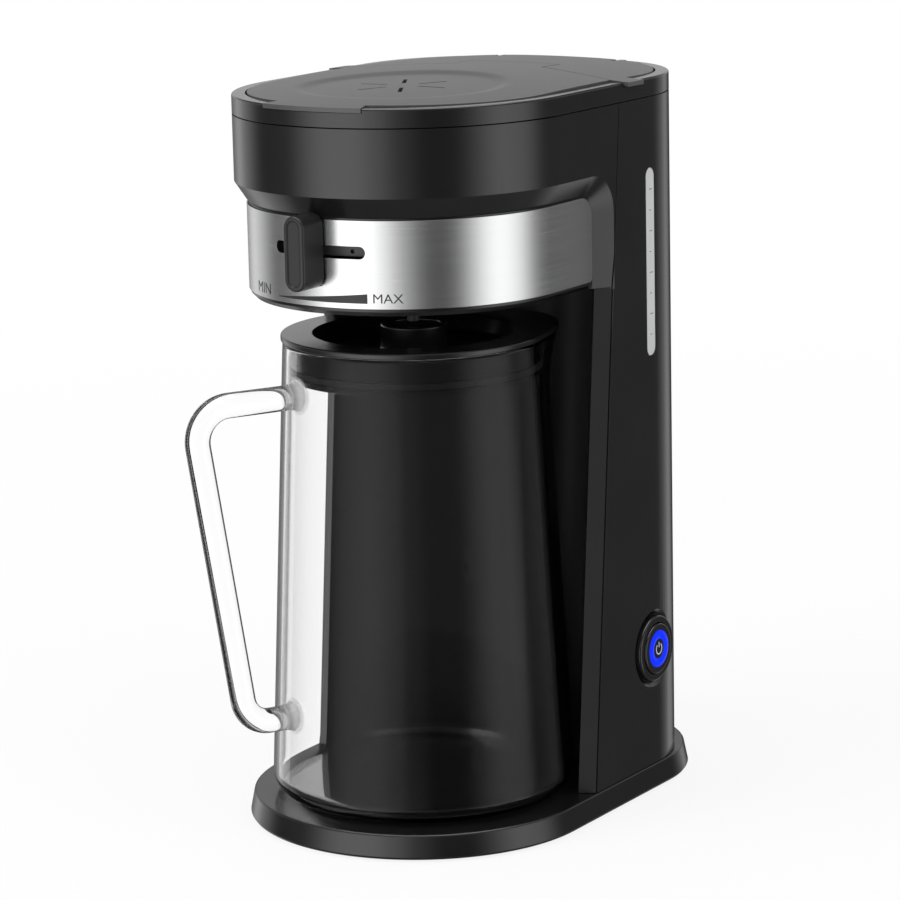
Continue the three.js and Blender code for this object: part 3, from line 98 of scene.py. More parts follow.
class Wire:
    # One socket of a finish, so that maths on masks reads as plain sums.

    def __init__(self, finish, socket):
        self.finish, self.socket = finish, socket

    def maths(self, operation, *values):
        return self.finish.node("Math", dict(enumerate(values)), operation=operation)

    def __add__(self, other):
        return self.maths("ADD", self, other)

    def __radd__(self, other):
        return self.maths("ADD", other, self)

    def __sub__(self, other):
        return self.maths("SUBTRACT", self, other)

    def __rsub__(self, other):
        return self.maths("SUBTRACT", other, self)

    def __mul__(self, other):
        return self.maths("MULTIPLY", self, other)

    def __gt__(self, other):
        return self.maths("GREATER_THAN", self, other)


class Finish:
    # A material, or the world, as a list of nodes wired by name.

    def __init__(self, owner):
        owner.use_nodes = True
        self.owner, self.tree = owner, owner.node_tree
        self.tree.nodes.clear()

    def node(self, kind, values=None, output=0, **settings):
        made = self.tree.nodes.new("ShaderNode" + kind)
        for name, value in settings.items():
            setattr(made, name, value)
        for name, value in (values or {}).items():
            if isinstance(value, Wire):
                self.tree.links.new(value.socket, made.inputs[name])
            else:
                made.inputs[name].default_value = value
        return Wire(self, made.outputs[output]) if made.outputs else None

    def ramp(self, value, stops):
        wire = self.node("ValToRGB", {0: value})
        ramp = wire.socket.node.color_ramp
        ramp.interpolation = "EASE"
        while len(ramp.elements) < len(stops):
            ramp.elements.new(1)
        for element, (place, level) in zip(ramp.elements, stops):
            element.position, element.color = place, opaque(level)
        return wire

    def place(self, stretch=None):
        spot = self.node("TexCoord", output="Object")
        if stretch is None:
            return spot
        return self.node("VectorMath", {0: spot, 1: stretch}, operation="MULTIPLY")

    def noise(self, scale, detail, stretch=None):
        return self.node("TexNoise", {"Vector": self.place(stretch), "Scale": scale, "Detail": detail})

    def between(self, mask, first, second):
        return self.node("Mix", {0: mask, 6: first, 7: second}, 2, data_type="RGBA")

    def relief(self, height, depth):
        return self.node("Bump", {"Height": height, "Distance": depth * mm})

    def span(self, value, start, end, low=0.0, high=1.0):
        return self.node("MapRange", {"Value": value, "From Min": start, "From Max": end,
                                      "To Min": low, "To Max": high})

    def show(self, surface):
        self.node("OutputMaterial", {"Surface": surface})
        return self.owner

    def coat(self, values):
        return self.show(self.node("BsdfPrincipled", values))


def newFinish(name):
    return Finish(bpy.data.materials.new(name))


def opaque(colour, share=1.0):
    # A grey level or a colour, the way a socket takes it.
    parts = (colour,) * 3 if isinstance(colour, (int, float)) else colour
    return (*(share * part for part in parts), 1)


# Finishes

plain = {"haze": 0.06, "cloudScale": 22.0, "dust": 0.04, "dustScale": 380.0, "dustFrom": 0.66, "ior": 1.5}
plastics = {
    "glossBlack": {"dark": (0.006, 0.006, 0.0063), "light": (0.009, 0.009, 0.0094), "rough": 0.21,
                   "grainScale": 90.0, "grainDepth": 0.006},
    "satinBlack": {"dark": (0.030, 0.030, 0.031), "light": (0.042, 0.042, 0.043), "rough": 0.42, "dust": 0.05,
                   "grainScale": 1900.0, "grainDepth": 0.016},
    # The lids' finish is satin black painted a lighter grey: painted light from above on the lids' tops.
    "lidPaintedLitGrey": {"dark": (0.055, 0.055, 0.056), "light": (0.072, 0.072, 0.073), "rough": 0.40,
                "grainScale": 1900.0, "grainDepth": 0.012},
    "leverGrey": {"dark": (0.015, 0.015, 0.0155), "light": (0.020, 0.020, 0.0205), "rough": 0.34,
                  "haze": 0.05, "dust": 0.03, "grainScale": 1600.0, "grainDepth": 0.006, "ior": 1.4},
    "innerGrey": {"dark": (0.035, 0.035, 0.037), "light": (0.055, 0.055, 0.058), "rough": 0.5, "haze": 0.08,
                  "grainScale": 1500.0, "grainDepth": 0.02},
    "footRubber": {"dark": 0.018, "light": 0.03, "rough": 0.8, "haze": 0.1, "dust": 0.1,
                   "grainScale": 1200.0, "grainDepth": 0.03},
    "paleSilicone": {"dark": (0.60, 0.59, 0.55), "light": (0.72, 0.71, 0.67), "rough": 0.48, "haze": 0.08,
                     "dust": 0.05, "grainScale": 900.0, "grainDepth": 0.01, "ior": 1.45},
}


def plasticFinish(name, look):
    finish = newFinish(name)
    cloud = finish.noise(look["cloudScale"], 4.0)
    grain = finish.noise(look["grainScale"], 2.0)
    dust = finish.noise(look["dustScale"], 6.0)
    tone = finish.between(cloud, opaque(look["dark"]), opaque(look["light"]))
    rough = look["rough"] + (cloud - 0.5) * look["haze"] + (dust > look["dustFrom"]) * look["dust"]
    return finish.coat({"Base Color": tone, "Roughness": rough, "IOR": look["ior"],
                        "Normal": finish.relief(grain, look["grainDepth"])})


steelLook = {"colour": (0.62, 0.622, 0.625), "dull": (0.54, 0.543, 0.548), "rough": 0.25, "spread": 0.10,
             "broadSpread": 0.03, "broadShare": 0.14, "brush": (26.0, 26.0, 5200.0), "brushDepth": 0.002,
             "turning": 0.55}


def brushedSteel(name, look):
    finish = newFinish(name)
    hairs = finish.noise(1.0, 4.0, look["brush"])
    broad = finish.noise(1.0, 2.0, tuple(share * look["broadShare"] for share in look["brush"]))
    tone = finish.between(hairs, opaque(look["dull"]), opaque(look["colour"]))
    return finish.coat({
        "Base Color": tone, "Metallic": 1.0, "Anisotropic": look["turning"],
        "Roughness": look["rough"] + (hairs - 0.5) * look["spread"] + (broad - 0.5) * look["broadSpread"],
        "Normal": finish.relief(hairs, look["brushDepth"])})


# Each metal has its colour, roughness and scale of grain.
metals = {"partSteel": ((0.55, 0.55, 0.56), 0.3, 700.0), "aluminium": ((0.60, 0.61, 0.62), 0.42, 500.0),
          "meshSteel": ((0.42, 0.42, 0.43), 0.38, 1400.0)}
speck = {"darker": 0.8, "spread": 0.12, "depth": 0.01}


def metalFinish(name, colour, rough, grain):
    finish = newFinish(name)
    mask = finish.noise(grain, 4.0)
    return finish.coat({
        "Base Color": finish.between(mask, opaque(colour, speck["darker"]), opaque(colour)), "Metallic": 1.0,
        "Roughness": rough + (mask - 0.5) * speck["spread"], "Normal": finish.relief(mask, speck["depth"])})


# The edge colour, over its span of facing, is painted dark shade at the glass's grazing edges.
glassLook = {"ior": 1.42, "tint": 0.4, "edge": 0.003, "edgeShadeFrom": 0.70, "edgeShadeTo": 0.75,
             # The weld values paint pale light into the thick glass where the handle meets the jug.
             "shadow": 0.3, "shadowColour": (0.97, 0.98, 0.98), "weldInner": 6.0, "weldOuter": 9.0,
             "weldShare": 0.75, "weldPaintedPale": 0.95, "weldRough": 0.25, "weldClear": 0.3}


def glassFinish(name, look, welds):
    # Clear glass with painted dark shade at its edges, and painted pale light where the handle is melted on.
    finish = newFinish(name)
    # Towards grazing the glass's colour turns near black: painted dark shade at its edges.
    facing = finish.node("LayerWeight", output="Facing")
    edge = finish.span(facing, look["edgeShadeFrom"], look["edgeShadeTo"])
    clear = finish.node("BsdfPrincipled", {
        "Base Color": finish.between(edge, opaque(1), opaque(look["edge"])), "Roughness": 0.0,
        "IOR": look["ior"], "Specular Tint": opaque(look["tint"]), "Transmission Weight": 1.0})
    # A pale, partly clear coat near the handle's roots: painted pale light in the thick joint.
    paintedPale = finish.node("BsdfPrincipled", {
        "Base Color": opaque(look["weldPaintedPale"]), "Roughness": look["weldRough"],
        "Transmission Weight": look["weldClear"]})
    near, inner, outer = 0.0, look["weldInner"] * mm, look["weldOuter"] * mm
    for weld in welds:
        away = finish.node("VectorMath", {0: finish.place(), 1: weld}, 1, operation="DISTANCE")
        near = near + finish.span(away, inner, outer, look["weldShare"], 0.0)
    surface = finish.node("MixShader", {0: near, 1: clear, 2: paintedPale})
    through = finish.node("BsdfTransparent", {"Color": opaque(look["shadowColour"])})
    shade = finish.node("LightPath", output="Is Shadow Ray")
    return finish.show(finish.node("MixShader", {0: shade * look["shadow"], 1: surface, 2: through}))


frostedLook = {"dark": (0.57, 0.575, 0.58), "light": (0.67, 0.675, 0.68), "rough": 0.3, "spread": 0.1,
               "cloudScale": 40.0, "ior": 1.49, "clear": 0.15, "grainScale": 1500.0, "grainDepth": 0.01}


def frostedFinish(name, look):
    finish = newFinish(name)
    cloud = finish.noise(look["cloudScale"], 3.0)
    return finish.coat({
        "Base Color": finish.between(cloud, opaque(look["dark"]), opaque(look["light"])),
        "Roughness": look["rough"] + (cloud - 0.5) * look["spread"], "IOR": look["ior"],
        "Transmission Weight": look["clear"],
        "Normal": finish.relief(finish.noise(look["grainScale"], 2.0), look["grainDepth"])})


# Each light has its colour and strength.
glows = {"blueLamp": ((0.0, 0.022, 0.9), 1.15), "whiteLamp": ((0.75, 0.8, 1.0), 0.6)}
lampLook = {"glowScale": 160.0, "unlit": 0.2, "darker": 0.8, "rough": 0.35, "shine": 0.15}


def lampFinish(name, colour, strength):
    finish = newFinish(name)
    glow = finish.noise(lampLook["glowScale"], 2.0)
    return finish.coat({
        "Base Color": opaque(colour, lampLook["unlit"]), "Roughness": lampLook["rough"],
        "Specular IOR Level": lampLook["shine"], "Emission Strength": strength,
        "Emission Color": finish.between(glow, opaque(colour, lampLook["darker"]), opaque(colour))})


ink = {"colour": 0.012, "darker": 0.8, "rough": 0.45, "grainScale": 2600.0}


def inkFinish(name, look):
    finish = newFinish(name)
    grain = finish.noise(look["grainScale"], 2.0)
    tone = finish.between(grain, opaque(look["colour"], look["darker"]), opaque(look["colour"]))
    return finish.coat({"Base Color": tone, "Roughness": look["rough"]})


glossBlack, satinBlack, lidPaintedLitGrey, leverGrey, innerGrey, footRubber, paleSilicone = (
    plasticFinish(name, {**plain, **look}) for name, look in plastics.items())
bandSteel = brushedSteel("bandSteel", steelLook)
partSteel, aluminium, meshSteel = (metalFinish(name, *look) for name, look in metals.items())
frostedPlastic = frostedFinish("frostedPlastic", frostedLook)
blueLamp, whiteLamp = (lampFinish(name, *look) for name, look in glows.items())
blackInk = inkFinish("blackInk", ink)
print("finishes made")


# Shapes

def arc(centreX, centreY, radius, start, end, steps):
    turns = [start + (end - start) * i / steps for i in range(steps + 1)]
    return [(centreX + radius * cos(turn), centreY + radius * sin(turn)) for turn in turns]


def planOutline(plan, inset=0.0):
    # Seen from above: a round nose, straight sides and two round rear corners.
    width, front, radius = (plan[key] - inset for key in ("halfWidth", "front", "rearRadius"))
    cornerY = plan["rear"] - plan["rearRadius"]
    nose = [(x * width, y * front) for x, y in arc(0, 0, 1, pi, 2 * pi, 128)]
    right = arc(width - radius, cornerY, radius, 0, pi / 2, 32)
    return nose + right + arc(radius - width, cornerY, radius, pi / 2, pi, 32)


def rounded(points, steps=5):
    # Corners given as (x, y, radius) become arcs; corners with no radius stay sharp.
    line = []
    for i, point in enumerate(points):
        here = Vector(point[:2])
        if len(point) < 3 or point[2] <= 0:
            line.append(tuple(here))
            continue
        before = (Vector(points[i - 1][:2]) - here).normalized()
        after = (Vector(points[(i + 1) % len(points)][:2]) - here).normalized()
        half = before.angle(after) / 2
        centre = here + (before + after).normalized() * (point[2] / sin(half))
        start, end = (here + way * (point[2] / tan(half)) - centre for way in (before, after))
        first = atan2(start.y, start.x)
        sweep = (atan2(end.y, end.x) - first + pi) % (2 * pi) - pi
        line += arc(centre.x, centre.y, point[2], first, first + sweep, steps)
    return line


def box2d(x0, x1, y0, y1, radii=(0, 0, 0, 0), steps=8):
    # Radii run bottom right, top right, top left, bottom left.
    return rounded([(x1, y0, radii[0]), (x1, y1, radii[1]), (x0, y1, radii[2]), (x0, y0, radii[3])], steps)


def pill(x, y, half, tall, steps):
    # A box about a centre, its ends as round as they can be.
    return box2d(x - half, x + half, y - tall, y + tall, (min(half, tall) - 0.01,) * 4, steps)


def keep(name, build):
    bmesh.ops.recalc_face_normals(build, faces=build.faces)
    mesh = bpy.data.meshes.new(name)
    build.to_mesh(mesh)
    build.free()
    return linked(name, mesh)


def skin(name, build, rings):
    # Joins a row of rings into one closed body.
    count = len(rings[0])
    for lower, upper in zip(rings, rings[1:]):
        for i in range(count):
            j = (i + 1) % count
            build.faces.new((lower[i], lower[j], upper[j], upper[i]))
    build.faces.new(rings[0][::-1])
    build.faces.new(rings[-1])
    return keep(name, build)


def loft(name, sections, at):
    build = bmesh.new()
    return skin(name, build, [[build.verts.new(at(point, level)) for point in section]
                              for level, section in enumerate(sections)])


def stack(name, levels):
    # Each level is (height, outline) or (height, outline, shift in y).
    def at(point, level):
        height, _, *shift = levels[level]
        return inFrame(point[0], point[1] + (shift[0] if shift else 0), height)
    return loft(name, [level[1] for level in levels], at)


def slab(name, outline, low, high):
    return stack(name, [(low, outline), (high, outline)])


def sideSlab(name, outline, x0, x1):
    # The outline holds (y, z) pairs.
    return loft(name, [outline, outline], lambda point, level: inFrame((x0, x1)[level], *point))


def block(name, x0, x1, y0, y1, z0, z1):
    return slab(name, box2d(x0, x1, y0, y1), z0, z1)


def bodySlab(name, inset, low, high):
    return slab(name, planOutline(body, inset), low, high)


def aroundFront(radius, turn):
    return radius * sin(turn), -radius * cos(turn)


# Each of these gives the line that a lathe turns about, as a function from radius, distance along and turn.

def aboutX(y, z):
    return lambda radius, along, turn: inFrame(along, y + radius * cos(turn), z + radius * sin(turn))


def aboutY(x, z):
    return lambda radius, along, turn: inFrame(x + radius * cos(turn), along, z + radius * sin(turn))


def besideZ(x, y):
    return lambda radius, along, turn: inFrame(x + radius * sin(turn), y - radius * cos(turn), along)


def throughFront(angle, z):
    across, outward = (cos(angle), sin(angle)), aroundFront(1, angle)
    return lambda radius, along, turn: inFrame(
        outward[0] * along + across[0] * radius * cos(turn),
        outward[1] * along + across[1] * radius * cos(turn), z + radius * sin(turn))


aboutZ = besideZ(0, 0)


def lathe(name, profile, steps=96, at=aboutZ):
    build = bmesh.new()
    closed = profile[0] == profile[-1]
    rings = []
    for radius, along in (profile[:-1] if closed else profile):
        count = steps if radius > 0 else 1
        rings.append([build.verts.new(at(radius, along, 2 * pi * i / steps)) for i in range(count)])
    for lower, upper in list(zip(rings, rings[1:])) + ([(rings[-1], rings[0])] if closed else []):
        for i in range(steps):
            j = (i + 1) % steps
            corners = [ring[k % len(ring)] for ring, k in ((lower, i), (lower, j), (upper, j), (upper, i))]
            corners = list(dict.fromkeys(corners))
            if len(corners) > 2:
                build.faces.new(corners)
    return keep(name, build)


def rod(name, radius, low, high, steps=48, at=aboutZ):
    return lathe(name, [(0, low), (radius, low), (radius, high), (0, high)], steps, at)


def hoop(name, corners, cornerSteps, steps, at=aboutZ):
    # A closed ring, from the corners of its section.
    profile = rounded(corners, cornerSteps)
    return lathe(name, profile + profile[:1], steps, at)


def bar(name, line, radii, sides):
    # A round bar along a list of points in millimetres.
    line = [Vector(point) for point in line]
    build = bmesh.new()
    rings = []
    side = Vector((0, 0, 1)).cross((line[1] - line[0]).normalized())
    for i, point in enumerate(line):
        along = (line[min(i + 1, len(line) - 1)] - line[max(i - 1, 0)]).normalized()
        side = (side - along * side.dot(along)).normalized()
        up = along.cross(side)
        turns = [2 * pi * k / sides for k in range(sides)]
        rings.append([build.verts.new(inFrame(*(point + (side * cos(t) + up * sin(t)) * radii[i])))
                      for t in turns])
    return skin(name, build, rings)


def settle(piece):
    # Puts a piece's modifiers into its mesh.
    graph = bpy.context.evaluated_depsgraph_get()
    mesh = bpy.data.meshes.new_from_object(piece.evaluated_get(graph))
    spent = piece.data
    piece.modifiers.clear()
    piece.data = mesh
    bpy.data.meshes.remove(spent)
    mesh.name = piece.name
    return piece


def combine(piece, operation, *tools):
    for tool in tools:
        modifier = piece.modifiers.new("combine", "BOOLEAN")
        modifier.operation, modifier.solver, modifier.object = operation, "EXACT", tool
        settle(piece)
        mesh = tool.data
        bpy.data.objects.remove(tool)
        bpy.data.meshes.remove(mesh)
    return piece


def cut(piece, *tools):
    return combine(piece, "DIFFERENCE", *tools)


def join(piece, *others):
    return combine(piece, "UNION", *others)


def common(piece, other):
    return combine(piece, "INTERSECT", other)


def reshape(piece, change):
    build = bmesh.new()
    build.from_mesh(piece.data)
    change(build)
    build.to_mesh(piece.data)
    build.free()
    return piece


def bevel(build, edges, width, segments):
    bmesh.ops.bevel(build, geom=edges, offset=width, offset_type="OFFSET", segments=segments, profile=0.5,
                    affect="EDGES", clamp_overlap=True)


def inMillimetres(point):
    return point.x / mm, (point.y - axisY) / mm, point.z / mm


def roundEdges(piece, width, segments, sharper, where=lambda x, y, z: True):
    # Rounds the edges whose angle is over so many degrees and whose middle is where asked.
    def chosen(edge):
        return (edge.is_manifold and edge.calc_face_angle() > radians(sharper)
                and where(*inMillimetres((edge.verts[0].co + edge.verts[1].co) / 2)))

    def change(build):
        bmesh.ops.remove_doubles(build, verts=build.verts, dist=1e-6)
        bevel(build, [edge for edge in build.edges if chosen(edge)], width * mm, segments)
    return reshape(piece, change)


def smooth(piece, angle=32):
    piece.data.shade_smooth()
    piece.data.set_sharp_from_angle(angle=radians(angle))
    modifier = piece.modifiers.new("normals", "WEIGHTED_NORMAL")
    modifier.keep_sharp = True
    return settle(piece)


def finishOff(piece, finish, rider, slotName, *nodes):
    piece.data.materials.clear()
    piece.data.materials.append(finish)
    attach(piece, rider)
    if nodes:
        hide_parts(*nodes)
    return piece


def sided(side, inner, outer):
    return sorted((side * inner, side * outer))


# Base

base = {"halfWidth": 78, "front": 77, "rear": 145.5, "rearRadius": 57.5, "flare": 2, "bottom": 1.0,
        "top": 11.9, "footBand": 1.2, "footInset": 0.9, "footWidth": 6, "topWidth": 12, "edge": 1.1,
        "wall": 3, "topWall": 2.5}


def makeBase():
    skirt = base["footInset"] - base["flare"]
    rise = rounded([(skirt + base["footWidth"], base["bottom"]), (skirt, base["bottom"], 0.25),
                    (-base["flare"], base["bottom"] + base["footBand"], 0.5),
                    (0, base["top"], base["edge"]), (base["topWidth"], base["top"])], 6)
    piece = stack("baseBody", [(height, planOutline(base, inset)) for inset, height in rise])
    hollow = slab("hollow", planOutline(base, base["wall"] - 1), -past, base["top"] - base["topWall"])
    finishOff(smooth(cut(piece, hollow)), glossBlack, "machine", "black_gloss", "base_shell")


foot = {"radius": 7, "height": 1.0, "stem": 2.7, "stemTop": 4.2, "x": 54.2, "frontY": -34.2, "rearY": 111.5}


def makeFeet():
    radius, height, stem, top = (foot[key] for key in ("radius", "height", "stem", "stemTop"))
    profile = rounded([(0, 0), (radius, 0, 0.3), (radius, height, 0.15),
                       (stem, height), (stem, top), (0, top)], 3)
    for y in ("front", "rear"):
        for x, side in (("left", -1), ("right", 1)):
            piece = lathe(f"foot.{y}_{x}", profile, 40, besideZ(side * foot["x"], foot[y + "Y"]))
            finishOff(smooth(piece), footRubber, "machine", "rubber", f"foot_{y}_{x}")


makeBase()
makeFeet()
print("base made")


# Head and tower

relief = {"depth": 6, "top": 282.6, "chamferTop": 291.8, "sideEnd": 35.2, "chamferSideEnd": 44.4,
          "corner": 8.4, "lip": 2}
column = {"frontHalf": 70.3, "foot": 19.4, "lean": 0.0873, "bayDepth": 51, "run": 4}
slot = {"angle": 18.8, "turn": -1.2, "height": 5.4, "z": 268.1}
button = {"y": 77.2, "z": 67, "recessRadius": 18.2, "recessFloor": 15.8, "recessDepth": 1.6,
          "recessFlare": 2.2, "hole": 14, "holeDepth": 20}
window = {"y": 77.3, "z": 246.8, "width": 8.3, "height": 86, "thickness": 2, "sunk": 0.4, "edge": 0.5}
gland = {"z": 30, "tube": 5.2}
housing = {"frontEdge": 0.55, "rearEdge": 0.35, "outlet": 15, "edgeRoom": 1, "frontReach": 3.05}
slotMiddle = radians(slot["turn"])
slotHalf = radians(slot["angle"])


def leaning(name, outline, top):
    # The bay and the seams beside it lean back as they rise.
    def shift(z):
        return column["lean"] * (z - body["baseTop"] - gap)
    bottom = body["baseTop"] - past
    return stack(name, [(bottom, outline, shift(bottom)), (top, outline, shift(top))])


def frontSector(name, inner, outer, half, low, high, steps=24, middle=0.0):
    turns = [middle + half * (2 * i / steps - 1) for i in range(steps + 1)]
    outside, inside = ([aroundFront(radius, turn) for turn in turns] for radius in (outer, inner))
    return slab(name, outside + inside[::-1], low, high)


def slotCutter(margin):
    half = slot["height"] / 2 + margin
    reach = slotHalf - slot["height"] / 2 / body["front"]
    inner, outer = body["front"] - relief["depth"] - wall - past, body["front"] + past
    run = frontSector("slotRun", inner, outer, reach, slot["z"] - half, slot["z"] + half, 32, slotMiddle)
    for end in (slotMiddle - reach, slotMiddle + reach):
        join(run, rod("slotEnd", half, inner, outer, 32, throughFront(end, slot["z"])))
    return run


def reliefCutter(grow):
    seat, rise = relief["depth"] + grow, relief["chamferTop"] - relief["top"]
    bottom, top = headLow - past / 2, headLow + relief["lip"]
    core = stack("core", [(height, planOutline(body, inset)) for height, inset in (
        (headLow - past, seat + relief["lip"]), (headLow, seat + relief["lip"]), (top, seat),
        (relief["top"], seat), (relief["chamferTop"] + past, grow - relief["depth"] / rise * past))])
    nose = block("nose", -far, far, -far, past, bottom, relief["chamferTop"] + past / 2)
    lip = block("lip", -far, far, 0, relief["sideEnd"], bottom, top)
    cutter = cut(join(nose, lip), core)
    run = relief["chamferSideEnd"] - relief["sideEnd"]

    def section(share):
        return box2d(0, relief["sideEnd"] + run * share, bottom, relief["top"] + rise * share,
                     (0, relief["corner"] + rise * share, 0, 0), 14)
    depths = [flank - seat, flank - grow, flank - grow + past]
    sections = [section(0), section(1), section(1 + past / relief["depth"])]
    for side in (1, -1):
        join(cutter, loft("sideRelief", sections, lambda point, i, s=side: inFrame(s * depths[i], *point)))
    return cutter


def bayCutter(grow, top):
    radius = (column["frontHalf"] ** 2 + column["bayDepth"] ** 2) / (2 * column["bayDepth"])
    centreY = column["foot"] + column["bayDepth"] - radius
    half = asin(column["frontHalf"] / (radius + grow))
    flangeY = centreY + (radius + grow) * cos(half) + column["run"]
    return leaning("bay", [(-far, -far), (far, -far), (far, flangeY), (flank, flangeY),
                           *arc(0, centreY, radius + grow, pi / 2 - half, pi / 2 + half, 96),
                           (-flank, flangeY), (-far, flangeY)], top)


def frontOfSeam(shift):
    return leaning("seam", box2d(-far, far, -far, column["foot"] + column["run"] + shift), headTop + past)


def windowPane(name, inset, x0, x1):
    half, tall = window["width"] / 2 - inset, window["height"] / 2 - inset
    return sideSlab(name, pill(window["y"], window["z"], half, tall, 16), x0, x1)


def finishHousing(piece, node, edge, isOutside):
    # Rounds the outer edges, short of the joints with the base and the deck.
    low, high = bodyLow + housing["edgeRoom"], headTop - housing["edgeRoom"]
    roundEdges(piece, edge, 3, 20, lambda x, y, z: low < z < high and isOutside(x, y))
    finishOff(smooth(piece), glossBlack, "machine", "black_gloss", node)


def makeFrontBody():
    zone = join(frontOfSeam(-gap), bodySlab("ring", wall + gap, bodyLow - past, headTop + past))
    piece = common(bodySlab("frontBody", 0, bodyLow, headTop), zone)
    cut(piece, reliefCutter(0), bayCutter(0, headLow))
    cavity = bodySlab("cavity", wall, bodyLow - past, headTop + past)
    cut(cavity, reliefCutter(wall), bayCutter(wall, headLow + wall))
    cut(piece, cavity, slotCutter(gap))
    cut(piece, rod("outletHole", housing["outlet"], headLow - past, headLow + wall + past, 64))
    outside = flank - relief["depth"] - housing["frontEdge"] - housing["frontReach"]
    finishHousing(piece, "front_housing", housing["frontEdge"],
                  lambda x, y: abs(x) > outside or hypot(x, y) > outside)


def makeRearBody():
    rear = body["rear"]
    piece = bodySlab("rearBody", 0, bodyLow, headTop)
    cut(piece, bodySlab("cavity", wall, bodyLow - past, headTop + past), frontOfSeam(gap), reliefCutter(0))
    floor, axis = flank - button["recessDepth"], aboutX(button["y"], button["z"])
    dish = [(0, floor), (button["recessFloor"], floor), (button["recessRadius"], flank),
            (button["recessRadius"] + button["recessFlare"], flank + past), (0, flank + past)]
    cut(piece, lathe("recess", dish, 96, axis),
        rod("buttonHole", button["hole"], flank - button["holeDepth"], flank + button["holeDepth"], 96, axis),
        windowPane("windowHole", 0, flank - wall - past, flank + past),
        rod("glandHole", gland["tube"] + gap, rear - wall - past, rear + past, 48, aboutY(0, gland["z"])))
    finishHousing(piece, "rear_housing", housing["rearEdge"], lambda x, y: x > flank - 1 or y > rear - 1)


makeFrontBody()
makeRearBody()
print("head and tower made")


# Steel band

band = {"standoff": 0.3, "thickness": 0.5, "bottom": 244, "top": 281.9, "sideEnd": 34.2,
        "topCorner": 8, "bottomCorner": 2.5, "edge": 0.12, "columns": 150, "rows": 12}
bandRadius = body["front"] - relief["depth"] + band["standoff"] + band["thickness"]
bandQuarter = bandRadius * pi / 2


def onBand(distance, depth, z):
    # A point of the band's outer face, by its distance round from the front's middle, and how deep it lies.
    radius = bandRadius - depth
    if abs(distance) <= bandQuarter:
        return inFrame(*aroundFront(radius, distance / bandRadius), z)
    return inFrame(copysign(radius, distance), abs(distance) - bandQuarter, z)


def evenly(low, high, count):
    return [low + (high - low) * k / count for k in range(count + 1)]


def sliceAcross(build, along, places):
    # Cuts a mesh across at these places, so that it can be bent.
    normal = Vector([1 if i == along else 0 for i in range(3)])
    for place in places:
        bmesh.ops.bisect_plane(build, geom=build.verts[:] + build.edges[:] + build.faces[:],
                               plane_co=normal * place, plane_no=normal, dist=1e-7)


def bend(build):
    for vertex in build.verts:
        vertex.co = onBand(*vertex.co)
    bmesh.ops.recalc_face_normals(build, faces=build.faces)


def flatSheet(name, outline, *depths):
    # The outline holds (distance round, height) pairs, and the sheet lies flat until it is bent.
    return loft(name, [outline, outline], lambda point, level: Vector((point[0], depths[level], point[1])))


def makeBand():
    reach = bandQuarter + band["sideEnd"]
    lower, upper = band["bottomCorner"], band["topCorner"]
    outline = box2d(-reach, reach, band["bottom"], band["top"], (lower, upper, upper, lower), 10)
    piece = flatSheet("bandSheet", outline, 0, band["thickness"])
    hole = pill(bandRadius * slotMiddle, slot["z"], bandRadius * slotHalf, slot["height"] / 2, 12)
    cut(piece, flatSheet("bandSlot", hole, -1, band["thickness"] + 1))

    def change(build):
        bevel(build, [edge for edge in build.edges if edge.calc_face_angle(0) > 1], band["edge"], 2)
        sliceAcross(build, 0, evenly(-bandQuarter, bandQuarter, band["columns"]))
        sliceAcross(build, 2, evenly(band["bottom"], band["top"], band["rows"])[1:-1])
        bend(build)
    finishOff(smooth(reshape(piece, change), 40), bandSteel, "machine", "brushed_steel", "steel_band")


# Each word has its turn in degrees, height of middle, height and width; the wedge has turns and heights.
marks = {"proud": 0.03, "pitch": 1.2, "MIN": (-29.4, 248.45, 4.7, 12.3), "MAX": (25.2, 248.6, 3.9, 13.0),
         "wedge": ((-19.55, 246.2), (18.05, 246.35), (18.05, 250.5), (-19.55, 246.5))}


def printOnBand(piece):
    # Wraps a thin flat mesh, with its back at y = 0, onto the band.
    def change(build):
        xs = [vertex.co.x for vertex in build.verts]
        low, high = min(xs), max(xs)
        sliceAcross(build, 0, evenly(low, high, max(2, int((high - low) / marks["pitch"])))[1:-1])
        bend(build)
    finishOff(reshape(piece, change), blackInk, "machine", "black_gloss")


def wordMesh(word, middle, z, height, width):
    curve = bpy.data.curves.new("word", "FONT")
    curve.body, curve.align_x, curve.extrude = word, "CENTER", 0.01
    text = linked("word", curve)
    graph = bpy.context.evaluated_depsgraph_get()
    mesh = bpy.data.meshes.new_from_object(text.evaluated_get(graph))
    bpy.data.objects.remove(text)
    xs, ys = ([vertex.co[i] for vertex in mesh.vertices] for i in range(2))
    stretch = (width / (max(xs) - min(xs)), height / (max(ys) - min(ys)))
    for vertex in mesh.vertices:
        x = (vertex.co.x - (max(xs) + min(xs)) / 2) * stretch[0] + middle
        up = (vertex.co.y - (max(ys) + min(ys)) / 2) * stretch[1] + z
        vertex.co = (x, -marks["proud"] if vertex.co.z > 0 else 0, up)
    return linked("mark" + word, mesh)


def makeMarks():
    for word in ("MIN", "MAX"):
        turn, *size = marks[word]
        printOnBand(wordMesh(word, bandRadius * radians(turn), *size))
    outline = [(bandRadius * radians(turn), z) for turn, z in marks["wedge"]]
    printOnBand(flatSheet("markWedge", outline, -marks["proud"], 0))


makeBand()
makeMarks()
print("band made")


# Deck and lids

